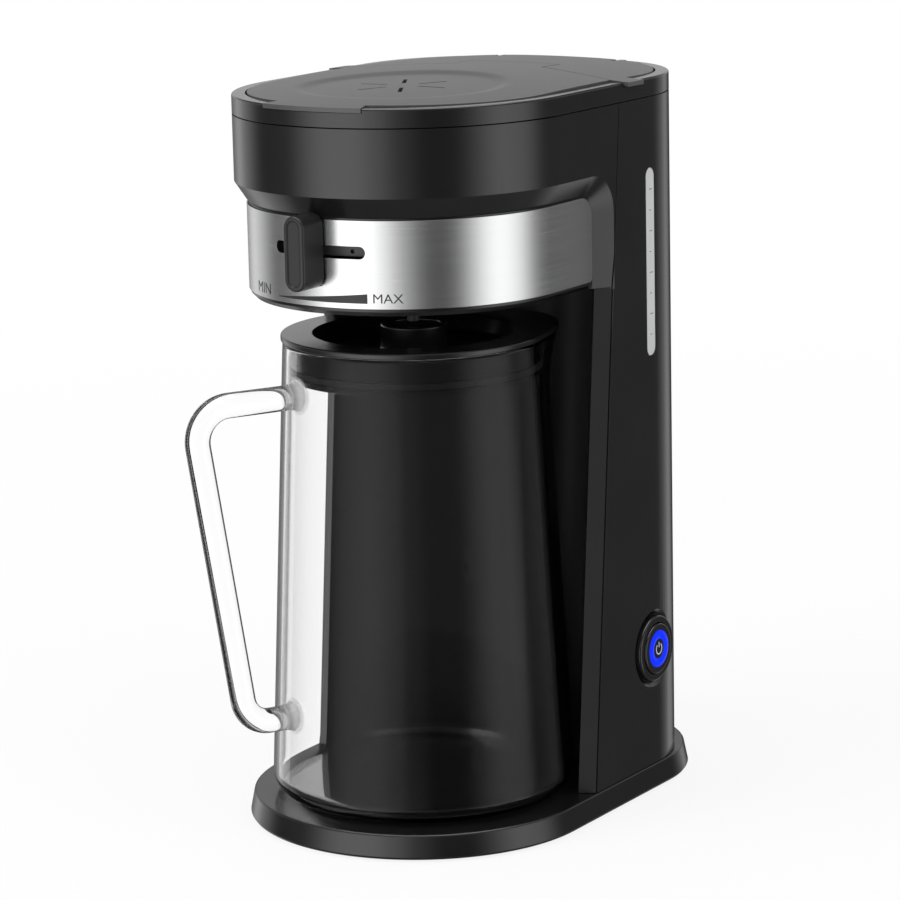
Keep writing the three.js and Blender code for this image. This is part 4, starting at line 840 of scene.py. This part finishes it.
deck = {"seam": 0.4, "top": 330, "rim": 6, "lipWidth": 8, "floor": 326.4, "floorThickness": 2.4,
        "edge": 0.9, "wellEdge": 0.3, "basketHole": 60.2, "tankHoleInset": 9, "tankHoleFront": 92.5,
        "spoutHole": 4.3, "spoutY": 69.5}
dome = {"edge": 330.4, "rise": 3, "halfWidth": 77.9, "halfLength": 116, "centreY": 37, "skin": 2,
        "cornerEdge": 0.28, "pitch": 2.0}
split = {"sideY": 54, "tongueHalf": 23.3, "shoulderY": 73.8, "gap": 0.6}
lidInset = 6.9
frontLid = {"hingeY": 83.6, "hingeZ": 328.3, "endRadius": 6.5, "tongueRadius": 5.6, "barrel": 2.6,
            "sweepGap": 0.6, "tabAngle": 18.7, "tabInner": 62.9, "tabOuter": 78.5,
            "dishY": -4.3, "dishOuter": 48.3, "dishInner": 41, "dishDepth": 1.3, "vents": 6,
            "ventInner": 8, "ventOuter": 21.8, "ventWidth": 1.4, "wideVents": (2, 5), "wider": 1.25}
rearLid = {"hingeY": 127, "hingeZ": 328.7, "barrel": 2.4, "barrelHalf": 29.8, "knuckle": 3.4,
           "earFront": 54.5, "earRear": 68.2, "earOuter": 80.1, "gutterHalf": 40.6,
           "cornerX": 33.6, "cornerRoom": 9.5, "cornerRear": 130}
pin = {"radius": 1.2, "lug": 1.9, "lugWidth": 3}
tongueRoom = split["tongueHalf"] + split["gap"]
postX = tongueRoom + gap / 2
knuckleX = rearLid["barrelHalf"] + gap


def earBlock(side, grow, low, high):
    xs = sided(side, flank - lidInset - past, rearLid["earOuter"] + grow)
    return block("ear", *xs, rearLid["earFront"] - grow, rearLid["earRear"] + grow, low, high)


def makeDeck():
    bottom, top, floor = headTop + deck["seam"], deck["top"] + past, deck["floor"]
    tankFront, lug = deck["tankHoleFront"], pin["lug"]
    rise = rounded([(deck["lipWidth"], bottom), (0, bottom, 0.25), (0, deck["top"], deck["edge"]),
                    (deck["lipWidth"], deck["top"])], 6)
    piece = stack("deckRing", [(height, planOutline(body, inset)) for inset, height in rise])
    cut(piece, bodySlab("well", deck["rim"], floor, top),
        bodySlab("underside", wall, bottom - past, floor - deck["floorThickness"]),
        rod("basketHole", deck["basketHole"], bottom - past, top, 128))
    tankHole = bodySlab("tankHole", deck["tankHoleInset"], bottom - past, top)
    cut(piece, common(tankHole, block("rearHalf", -far, far, tankFront, far, bottom - past, top)))
    low, high = headTop, floor + past / 4
    tongueFront = frontLid["hingeY"] - frontLid["endRadius"] - frontLid["sweepGap"]
    cut(piece, block("tongueRoom", -tongueRoom, tongueRoom, tongueFront, tankFront + past, low, high))
    gutter = block("gutter", -rearLid["gutterHalf"], rearLid["gutterHalf"], tankFront, far, low, high)
    cut(piece, common(gutter, bodySlab("gutterZone", deck["rim"] + gap / 2, low - past, high + past)))
    hinges = (frontLid, postX, pin["lugWidth"]), (rearLid, knuckleX, rearLid["knuckle"])
    for side in (1, -1):
        for lid, inner, width in hinges:
            xs, y, z = sided(side, inner, inner + width), lid["hingeY"], lid["hingeZ"]
            if lid is frontLid:
                join(piece, block("post", *xs, y - lug, y + lug, floor - past / 2, z))
            else:
                arm = block("arm", *xs, y, far, z - lug, z + lug)
                join(piece, common(arm, bodySlab("rimZone", deck["rim"] / 2, headTop, top)))
            join(piece, rod("lug", lug, *xs, 24, aboutX(y, z)))
    low = dome["edge"] - dome["skin"] - gap
    cut(piece, frontSector("tabRoom", frontLid["tabInner"], body["front"] + past,
                           radians(frontLid["tabAngle"]) + gap / body["front"], low, top))
    for side in (1, -1):
        xs = sided(side, rearLid["cornerX"], rearLid["cornerX"] + rearLid["cornerRoom"])
        cut(piece, earBlock(side, gap, low - gap, top),
            block("cornerRoom", *xs, tankFront, rearLid["cornerRear"], floor + gap, top))
    for lid, inner, width in hinges:
        half = inner + width
        cut(piece, rod("pinBore", pin["radius"] + gap, -half, half, 24, aboutX(lid["hingeY"], lid["hingeZ"])))
    cut(piece, rod("spoutHole", deck["spoutHole"], low - 10, floor + past, 32, besideZ(0, deck["spoutY"])))
    roundEdges(piece, deck["wellEdge"], 2, 40, lambda x, y, z: abs(z - deck["top"]) < 0.2)
    finishOff(smooth(piece), glossBlack, "machine", "black_gloss", "top_deck")


def lidHeight(x, y):
    share = 1 - (x / dome["halfWidth"]) ** 2 - ((y - dome["centreY"]) / dome["halfLength"]) ** 2
    return dome["edge"] + dome["rise"] * share


def eased(share):
    share = min(1, max(0, share))
    return share * share * (3 - 2 * share)


def dishDrop(x, y):
    outer, inner = frontLid["dishOuter"], frontLid["dishInner"]
    return frontLid["dishDepth"] * eased((outer - hypot(x, y - frontLid["dishY"])) / (outer - inner))


def frontZone(name, tongueEnd, grow):
    side, sideY = flank - lidInset, split["sideY"] + grow
    half, shoulder = split["tongueHalf"] + grow, split["shoulderY"] + grow
    right = [(far, -far), (far, sideY), (side, sideY), (half, shoulder), (half, tongueEnd)]
    return slab(name, [(-far, -far), *right, *((-x, y) for x, y in right[:0:-1])], -far, far)


def finishLid(piece, name, node, lid, half, drop):
    # Rounds the flat plate, cuts it into a grid, lifts it onto the dome less the drop, and adds its barrel.
    def crown(build):
        for along in (0, 1):
            places = [vertex.co[along] for vertex in build.verts]
            low, high = min(places), max(places)
            sliceAcross(build, along, evenly(low, high, int((high - low) / (dome["pitch"] * mm)))[1:-1])
        for vertex in build.verts:
            x, y, z = inMillimetres(vertex.co)
            vertex.co.z = (lidHeight(x, y) - drop(x, y) + z) * mm
    smooth(reshape(roundEdges(piece, dome["cornerEdge"], 2, 40), crown), 40)
    inner, outer = pin["radius"] + gap, lid["barrel"]
    corners = [(inner, -half), (outer, -half, 0.3), (outer, half, 0.3), (inner, half)]
    barrel = hoop(name + "Barrel", corners, 3, 40, aboutX(lid["hingeY"], lid["hingeZ"]))
    # The lid and its barrel take the satin black painted lighter, as painted light from above.
    finishOff(smooth(barrel), lidPaintedLitGrey, node, "black_satin")
    piece.name = name
    finishOff(piece, lidPaintedLitGrey, node, "black_satin", node)


def makeFrontLid():
    piece = bodySlab("frontLidPlate", lidInset, -dome["skin"], 0)
    join(piece, frontSector("tab", frontLid["tabInner"], frontLid["tabOuter"], radians(frontLid["tabAngle"]),
                            -dome["skin"], 0, 40))
    common(piece, frontZone("zone", frontLid["hingeY"] + frontLid["tongueRadius"], 0))
    inner, outer, middle = frontLid["ventInner"], frontLid["ventOuter"], frontLid["dishY"]
    for i in range(frontLid["vents"]):
        turn = 2 * pi / frontLid["vents"] * i
        wide = frontLid["ventWidth"] / 2 * (frontLid["wider"] if i in frontLid["wideVents"] else 1)
        outline = [(x * cos(turn) - y * sin(turn), x * sin(turn) + y * cos(turn) + middle)
                   for x, y in ((inner, -wide), (outer, -wide), (outer, wide), (inner, wide))]
        cut(piece, slab("vent", outline, -far, far))
    finishLid(piece, "frontLid", "basket_lid", frontLid, split["tongueHalf"], dishDrop)


def makeRearLid():
    piece = bodySlab("rearLidPlate", lidInset, -dome["skin"], 0)
    join(piece, *(earBlock(side, 0, -dome["skin"], 0) for side in (1, -1)))
    sweep = frontLid["tongueRadius"] + split["gap"]
    cut(piece, frontZone("zone", frontLid["hingeY"], split["gap"]),
        block("tongueRoom", -tongueRoom, tongueRoom, 0, frontLid["hingeY"] + sweep, -far, far))
    for side in (1, -1):
        xs = sided(side, rearLid["barrelHalf"], rearLid["barrelHalf"] + rearLid["knuckle"] + gap * 2)
        cut(piece, block("knuckleRoom", *xs, rearLid["hingeY"] - pin["lug"] - past / 2, far, -far, far))
    finishLid(piece, "rearLid", "tank_lid", rearLid, rearLid["barrelHalf"], lambda x, y: 0)


makeDeck()
makeFrontLid()
makeRearLid()
print("deck and lids made")


# Jug

jug = {"bottom": 12.2, "rest": 59.5, "corner": 9, "widest": 68.8, "rim": 58.7, "top": 219.2, "wall": 2.6,
       "floor": 3.6, "spoutAngle": 155, "spoutReach": 10.5, "spoutSpread": 52, "spoutStart": 188}
handle = {"angle": -27, "rod": 5.6, "topZ": 199, "bottomZ": 54.5, "topReach": 111.2, "bottomReach": 89.5,
          "topBend": 15, "bottomBend": 13, "flare": 1.1, "flareLength": 4.5, "armSteps": 10}
jugSide = jug["bottom"] + jug["corner"]
handleTurn = radians(handle["angle"])


def jugRadius(z):
    return jug["widest"] + (jug["rim"] - jug["widest"]) * (z - jugSide) / (jug["top"] - jugSide)


clearGlass = glassFinish("clearGlass", glassLook, [
    inFrame(*aroundFront(jugRadius(handle[end]), handleTurn), handle[end]) for end in ("topZ", "bottomZ")])


def spoutShare(turn):
    off = (turn - radians(jug["spoutAngle"]) + pi) % (2 * pi) - pi
    share = abs(off) / radians(jug["spoutSpread"])
    return cos(share * pi / 2) ** 2 if share < 1 else 0


def spoutReach(z):
    share = min(1, max(0, (z - jug["spoutStart"]) / (jug["top"] - jug["spoutStart"]))) / 2
    return jug["spoutReach"] * 2 * eased(share)


def makeHandle():
    tilt = atan2(handle["topReach"] - handle["bottomReach"], handle["topZ"] - handle["bottomZ"])
    centres, ends, bends = [], [], []
    for end, sign in (("top", -1), ("bottom", 1)):
        bend, z = handle[end + "Bend"], handle[end + "Z"]
        leg = bend / tan((pi / 2 + sign * tilt) / 2)
        centres.append((handle[end + "Reach"] - leg, z + sign * bend))
        ends.append((jugRadius(z) - jug["wall"] / 2, z))
        bends.append(arc(*centres[-1], bend, *((pi / 2, -tilt) if sign < 0 else (-tilt, -pi / 2)), 16))
    steps = handle["armSteps"]
    arms = [[(end[0] + (centre[0] - end[0]) * i / steps, end[1]) for i in range(steps)]
            for end, centre in zip(ends, centres)]
    line = arms[0] + bends[0] + bends[1] + arms[1][::-1]
    radii = []
    for reach, z in line:
        nearest = min(abs(reach - end[0]) if abs(z - end[1]) < 1 else far for end in ends)
        share = max(0, 1 - (nearest - jug["wall"] / 2) / handle["flareLength"])
        radii.append(handle["rod"] + handle["flare"] * share ** 2)
    return bar("handle", [(*aroundFront(reach, handleTurn), z) for reach, z in line], radii, 32)


def makeJug():
    bottom, top, widest, corner, thick = (jug[key] for key in ("bottom", "top", "widest", "corner", "wall"))
    floor, lip, innerCorner = bottom + jug["floor"], thick / 2, corner - thick
    heights = [jugSide + (top - jugSide) * i / 40 for i in range(41)]
    outerCorner = [(widest - (widest - jug["rest"]) * (1 - sin(t)), jugSide - corner * cos(t))
                   for t in (pi / 2 * i / 10 for i in range(10))]
    outside = [(jugRadius(z), z) for z in heights if z < top - lip]
    rim = [(jugRadius(top) - lip + lip * cos(t), top - lip + lip * sin(t))
           for t in (pi * i / 8 for i in range(9))]
    inside = [(jugRadius(z) - thick, z) for z in heights[::-1] if floor + corner < z < top - lip]
    insideCorner = [(widest - thick - innerCorner * (1 - cos(t)), floor + innerCorner * (1 - sin(t)))
                    for t in (pi / 2 * i / 8 for i in range(9))]

    def at(radius, along, turn):
        # The spout leaves the floor as it is.
        push = spoutReach(along) * spoutShare(turn) if radius > jug["rest"] / 2 else 0
        return aboutZ(radius + push, along, turn)
    profile = [(0, bottom), *outerCorner, *outside, *rim, *inside, *insideCorner, (0, floor)]
    piece = lathe("jugGlass", profile, 180, at)
    finishOff(smooth(join(piece, makeHandle()), 50), clearGlass, "jug", "clear_glass", "glass_jug")


jugLid = {"top": 222.3, "flange": 2.7, "outer": 59.5, "ringInner": 44.9, "dish": 40.9, "dishFloor": 215,
          "floor": 2, "collarBottom": 202.6, "collar": 55.3, "collarWall": 2.2, "cup": 14.9, "cupInner": 12,
          "cupTop": 225.8, "drain": 5, "lip": 10.3}
jugSeal = {"bottom": 205.5, "height": 3, "depth": 0.8, "proud": 0.7}


def makeJugLid():
    top, rim, collar, hem, floor, drain, cup, cupInner, cupTop = (jugLid[key] for key in (
        "top", "outer", "collar", "collarBottom", "dishFloor", "drain", "cup", "cupInner", "cupTop"))
    low, inner, floorLow = top - jugLid["flange"], collar - jugLid["collarWall"], floor - jugLid["floor"]
    sealLow, sealHigh = jugSeal["bottom"], jugSeal["bottom"] + jugSeal["height"]
    groove = collar - jugSeal["depth"]

    def at(radius, along, turn):
        edge = radius > (rim + collar) / 2 and along > low - 0.1
        return aboutZ(radius + (jugLid["lip"] * spoutShare(turn) if edge else 0), along, turn)
    piece = hoop("jugLid", [
        (drain, floorLow), (inner, floorLow), (inner, hem, 0.5), (collar, hem, 0.6),
        (collar, sealLow - gap), (groove, sealLow - gap), (groove, sealHigh + gap), (collar, sealHigh + gap),
        (collar, low), (rim, low, 0.4), (rim, top, 0.9), (jugLid["ringInner"], top, 1.6),
        (jugLid["dish"], floor, 2.0), (cup, floor, 1.0), (cup, cupTop, 1.1), (cupInner, cupTop, 1.1),
        (cupInner, floor, 0.8), (drain, floor, 0.4)], 5, 160, at)
    finishOff(smooth(piece), glossBlack, "jug_lid", "black_gloss", "jug_lid")
    inner, outer = groove + gap, collar + jugSeal["proud"]
    corners = [(inner, sealLow), (outer, sealLow, 0.7), (outer, sealHigh, 0.7), (inner, sealHigh)]
    seal = hoop("jugLidSeal", corners, 5, 128)
    finishOff(smooth(seal), footRubber, "jug_lid", "silicone", "jug_lid_seal")


makeJug()
makeJugLid()
print("jug made")


# Lever

lever = {"width": 10.4, "height": 32.5, "outer": 88.1, "inner": 73.5, "z": 268.6, "edge": 1.1, "dish": 0.5,
         "stemWidth": 6, "stemHeight": 4.2}
ring = {"inner": 51.8, "outer": 68.7, "height": 4.6, "mark": 12, "markRadius": 1, "markDepth": 2}


def makeLever():
    half, tall, inner, outer = lever["width"] / 2, lever["height"] / 2, lever["inner"], lever["outer"]
    depths = rounded([(inner, 1.0), (inner, 0, 0.5), (outer, 0, lever["edge"]), (outer, 1.8, 0),
                      (outer - lever["dish"], 2.4)], 5)
    sections = [pill(0, lever["z"], half - shrink, tall - shrink, 14) for _, shrink in depths]
    piece = loft("leverKnob", sections, lambda point, i: inFrame(point[0], -depths[i][0], point[1]))
    side, up, z = lever["stemWidth"] / 2, lever["stemHeight"] / 2, slot["z"]
    join(piece, block("stem", -side, side, -inner - past, -ring["outer"] - gap, z - up, z + up))
    centre = inFrame(0, 0, 0)
    piece.data.transform(Matrix.Translation(centre) @ Matrix.Rotation(slotMiddle, 4, "Z")
                         @ Matrix.Translation(-centre))
    finishOff(smooth(piece), leverGrey, "lever", "black_satin", "strength_lever")


def makeRing():
    inner, outer = ring["inner"], ring["outer"]
    low, high = slot["z"] - ring["height"] / 2, slot["z"] + ring["height"] / 2
    corners = [(radius, z, 0.3) for radius, z in ((inner, low), (outer, low), (outer, high), (inner, high))]
    piece = hoop("strengthRing", corners, 3, 160)
    cut(piece, rod("markHole", ring["markRadius"], outer - ring["markDepth"], outer + ring["markDepth"], 24,
                   throughFront(radians(ring["mark"]), slot["z"])))
    finishOff(smooth(piece), satinBlack, "lever", "black_satin", "strength_ring")


makeLever()
makeRing()


# Power button

bezel = {"outer": 15.4, "inner": 12.1, "proud": 1.4, "tube": 7}
cap = {"radius": 11.8, "proud": 2.7, "depth": 7.5, "crown": 0.5, "stem": 4, "stemLength": 1.6,
       "lightOuter": 8.6, "lightInner": 4.7, "lightDepth": 1.4, "lightGap": 0.15}
capFront = flank + cap["proud"]
capTop = capFront - cap["crown"]


def makeButton():
    axis = aboutX(button["y"], button["z"])
    seat, rim = flank - button["recessDepth"] + gap, flank + bezel["proud"]
    inner, outer, hole, back = bezel["inner"], bezel["outer"], button["hole"] - gap, seat - bezel["tube"]
    piece = hoop("buttonBezel", [(inner, back), (hole, back), (hole, seat), (outer, seat, 0.2),
                                 (outer, rim, 1.2), (inner, rim, 0.5)], 6, 128, axis)
    finishOff(smooth(piece), glossBlack, "machine", "black_gloss", "button_bezel")
    back, floor = capFront - cap["depth"], capTop - cap["lightDepth"]
    inner, outer, stemBack = cap["lightInner"], cap["lightOuter"], back - cap["stemLength"]
    wide, narrow, stem, radius = outer + cap["lightGap"], inner - cap["lightGap"], cap["stem"], cap["radius"]
    piece = lathe("buttonCap", rounded([
        (0, stemBack), (stem, stemBack), (stem, back), (radius, back), (radius, capTop, 0.9),
        (wide, capTop, 0.12), (wide, floor), (narrow, floor), (narrow, capTop, 0.12),
        (0, capTop)], 5), 128, axis)
    finishOff(smooth(piece), glossBlack, "button", "black_gloss", "power_button")
    low, high = floor + gap, capTop + 0.05
    piece = hoop("buttonLight", [(inner, low), (outer, low), (outer, high, 0.2),
                                 ((outer + inner) / 2, capFront, 2.5), (inner, high, 0.2)], 6, 128, axis)
    finishOff(smooth(piece), blueLamp, "button", "blue_light", "light_ring")


powerSign = {"radius": 2.5, "line": 0.5, "gap": 40, "bar": 1.9, "barTop": 0.6, "low": 0.005, "height": 0.06}


def makePowerSign():
    # A broken ring and a bar, as on most switches.
    half, radius = powerSign["line"] / 2, powerSign["radius"]
    start, end = radians(90 + powerSign["gap"]), radians(450 - powerSign["gap"])
    outline = arc(0, 0, radius + half, start, end, 48) + arc(0, 0, radius - half, end, start, 48)
    low, high = radius - powerSign["bar"], radius + powerSign["barTop"]
    stroke = box2d(-half, half, low, high, (half - 0.01,) * 4, 6)
    for name, shape in (("powerSignRing", outline), ("powerSignBar", stroke)):
        placed = [(button["y"] + y, button["z"] + z) for y, z in shape]
        sign = sideSlab(name, placed, capTop + powerSign["low"], capTop + powerSign["height"])
        finishOff(sign, whiteLamp, "button", "blue_light")


makeButton()
makePowerSign()
print("lever and button made")


# Level window

ticks = {"count": 8, "margin": 10, "left": 0.6, "long": 2.6, "short": 1.6, "half": 0.16,
         "low": 0.005, "high": 0.03}


def makeWindow():
    outer = flank - window["sunk"]
    pane = windowPane("windowPane", 0.15, outer - window["thickness"], outer)
    roundEdges(pane, window["edge"], 3, 40, lambda x, y, z: x > outer - window["edge"])
    finishOff(smooth(pane), frostedPlastic, "machine", "frosted", "level_window")
    start, run = window["z"] - window["height"] / 2 + ticks["margin"], window["height"] - 2 * ticks["margin"]
    left = window["y"] - ticks["left"]
    for i in range(ticks["count"]):
        z, length = start + i * run / (ticks["count"] - 1), ticks["long" if i % 2 else "short"]
        outline = box2d(left, left + length, z - ticks["half"], z + ticks["half"])
        tick = sideSlab(f"levelMark.{i}", outline, outer + ticks["low"], outer + ticks["high"])
        finishOff(tick, blackInk, "machine", "black_gloss")


makeWindow()


# Finishes of the pieces whose solids are shown as they are

solidFinishes = {
    "black_gloss": glossBlack, "black_satin": satinBlack, "dark_inner": innerGrey, "brushed_steel": partSteel,
    "clear_glass": clearGlass, "frosted": frostedPlastic, "rubber": footRubber, "blue_light": blueLamp,
    "aluminium": aluminium, "silicone": paleSilicone,
}


def dressSolids():
    slots = {part["node"]: part["material_slot"] for part in frame["record"]["subparts"]}
    for name, node in frame["nodes"].items():
        node.data.materials.clear()
        node.data.materials.append(meshSteel if name == "filter_mesh" else solidFinishes[slots[name]])


dressSolids()


# Stage and light

studio = {"floor": 3.0, "floorColour": 0.95, "floorGrain": 0.01, "grainScale": 30.0,
          "glow": 0.85, "fadeStart": 0.25, "fadeEnd": 1.3, "world": 0.75}
# Each level is an azimuth, in degrees from the front round by the machine's right, and a strength.
tent = {"radius": 1.5, "low": -1.2, "high": 1.6, "strength": 2.4,
        "levels": [(0, 0.98), (12, 0.66), (28, 0.2), (43, 0.015), (60, 0.015), (95, 0.82), (107, 0.68),
                   (130, 0.06), (152, 0.045), (166, 0.20), (175, 0.36), (182, 0.20), (188, 0.02), (215, 0.02),
                   (236, 0.13), (252, 0.50), (266, 0.33), (286, 0.05), (307, 0.09), (342, 0.98), (352, 1.0),
                   (360, 0.98)],
        "upper": 0.40, "upperFrom": 0.33, "upperTo": 0.47, "fadeFrom": 0.5, "fadeTo": 1.0, "fade": 0.2,
        "topRadius": 0.9, "topStrength": 4.0, "groundStrength": 0.2,
        "curtain": (268, 518), "curtainStrength": 0.12}


def disc(name, radius, height=0.0, middleY=0.0):
    build = bmesh.new()
    bmesh.ops.create_circle(build, cap_ends=True, radius=radius, segments=64,
                            matrix=Matrix.Translation((0, middleY, height)))
    return keep(name, build)


def addFloor():
    floor = disc("floor", studio["floor"])
    finish = newFinish("paleFloor")
    grain = finish.noise(studio["grainScale"], 3.0)
    colour = studio["floorColour"]
    lit = finish.node("BsdfDiffuse", {
        "Color": finish.between(grain, opaque(colour - studio["floorGrain"]), opaque(colour))})
    glow = finish.node("Emission", {"Color": opaque(1), "Strength": 1.0})
    seen = finish.node("LightPath", output="Is Camera Ray")
    away = finish.node("VectorMath", {0: finish.place()}, 1, operation="LENGTH")
    fade = finish.span(away, studio["fadeStart"], studio["fadeEnd"], studio["glow"])
    floor.data.materials.append(finish.show(finish.node("MixShader", {0: seen * fade, 1: lit, 2: glow})))
    floor.visible_glossy = floor.visible_transmission = False


def addWorld():
    world = bpy.data.worlds.new("studio")
    bpy.context.scene.world = world
    finish = Finish(world)
    seen, gloss, through = (finish.node("LightPath", output=f"Is {kind} Ray")
                            for kind in ("Camera", "Glossy", "Transmission"))
    shown = seen.maths("MAXIMUM", seen.maths("MAXIMUM", seen, gloss), through)
    strength = shown * (1.0 - studio["world"]) + studio["world"]
    sky = finish.node("Background", {"Color": opaque(1), "Strength": strength})
    finish.node("OutputWorld", {"Surface": sky})


def wallAround(name, start, end, steps):
    build = bmesh.new()
    turns = [radians(start + (end - start) * k / steps) for k in range(steps + 1)]
    rows = [[build.verts.new((tent["radius"] * sin(t), axisY - tent["radius"] * cos(t), height))
             for t in turns] for height in (tent["low"], tent["high"])]
    for k in range(steps):
        build.faces.new((rows[0][k], rows[0][k + 1], rows[1][k + 1], rows[1][k]))
    return keep(name, build)


def seenOnlyBy(rays, piece, finish):
    for kind in ("camera", "diffuse", "glossy", "transmission", "shadow"):
        setattr(piece, "visible_" + kind, kind == rays)
    piece.data.materials.append(finish)


def lampCloth(name, strength):
    finish = newFinish(name)
    return finish.show(finish.node("Emission", {"Color": opaque(1), "Strength": strength}))


def addTent():
    # Soft boxes all round as one wall of light that only gloss sees, with a lamp above it.
    finish = newFinish("tentWall")
    spot = finish.place()
    x, y, z = (finish.node("SeparateXYZ", {0: spot}, i) for i in range(3))
    turn = x.maths("ARCTAN2", x, axisY - y) * (0.5 / pi)
    stops = [(azimuth / 360, level) for azimuth, level in tent["levels"]]
    boxes = finish.ramp(turn.maths("FRACT", turn), stops)
    upper = finish.span(z, tent["upperFrom"], tent["upperTo"])
    fade = finish.span(z, tent["fadeFrom"], tent["fadeTo"], tent["upper"], tent["upper"] * tent["fade"])
    light = finish.between(upper, boxes, fade)
    cloth = finish.show(finish.node("Emission", {"Color": light, "Strength": tent["strength"]}))
    top = disc("tentTop", tent["topRadius"], tent["high"], axisY)
    ground = disc("tentGround", tent["radius"], tent["low"], axisY)
    seenOnlyBy("glossy", wallAround("tent", 0, 360, 96), cloth)
    seenOnlyBy("glossy", top, lampCloth("topLamp", tent["topStrength"]))
    seenOnlyBy("glossy", ground, lampCloth("groundLamp", tent["groundStrength"]))


def addCurtain():
    # Dark cloth in front that only light through the glass sees, where it draws the glass's dark edges.
    cloth = lampCloth("darkCloth", tent["curtainStrength"])
    seenOnlyBy("transmission", wallAround("curtain", *tent["curtain"], 72), cloth)


lamps = {
    "key": {"place": (-900, -1300, 1500), "size": 1.2, "power": 16.0},
    "fill": {"place": (1500, -300, 900), "size": 1.4, "power": 6.0},
}
aim = (0, 40, 150)


def addLamps():
    for name, lamp in lamps.items():
        data = bpy.data.lights.new(name, "AREA")
        data.shape, data.size, data.energy = "DISK", lamp["size"], lamp["power"]
        made = linked(name, data)
        made.location = inFrame(*lamp["place"])
        made.rotation_euler = (inFrame(*aim) - made.location).to_track_quat("-Z", "Y").to_euler()
        made.visible_glossy = False


addFloor()
addWorld()
addTent()
addCurtain()
addLamps()
bpy.context.scene.view_settings.view_transform = "Standard"
print("set made")
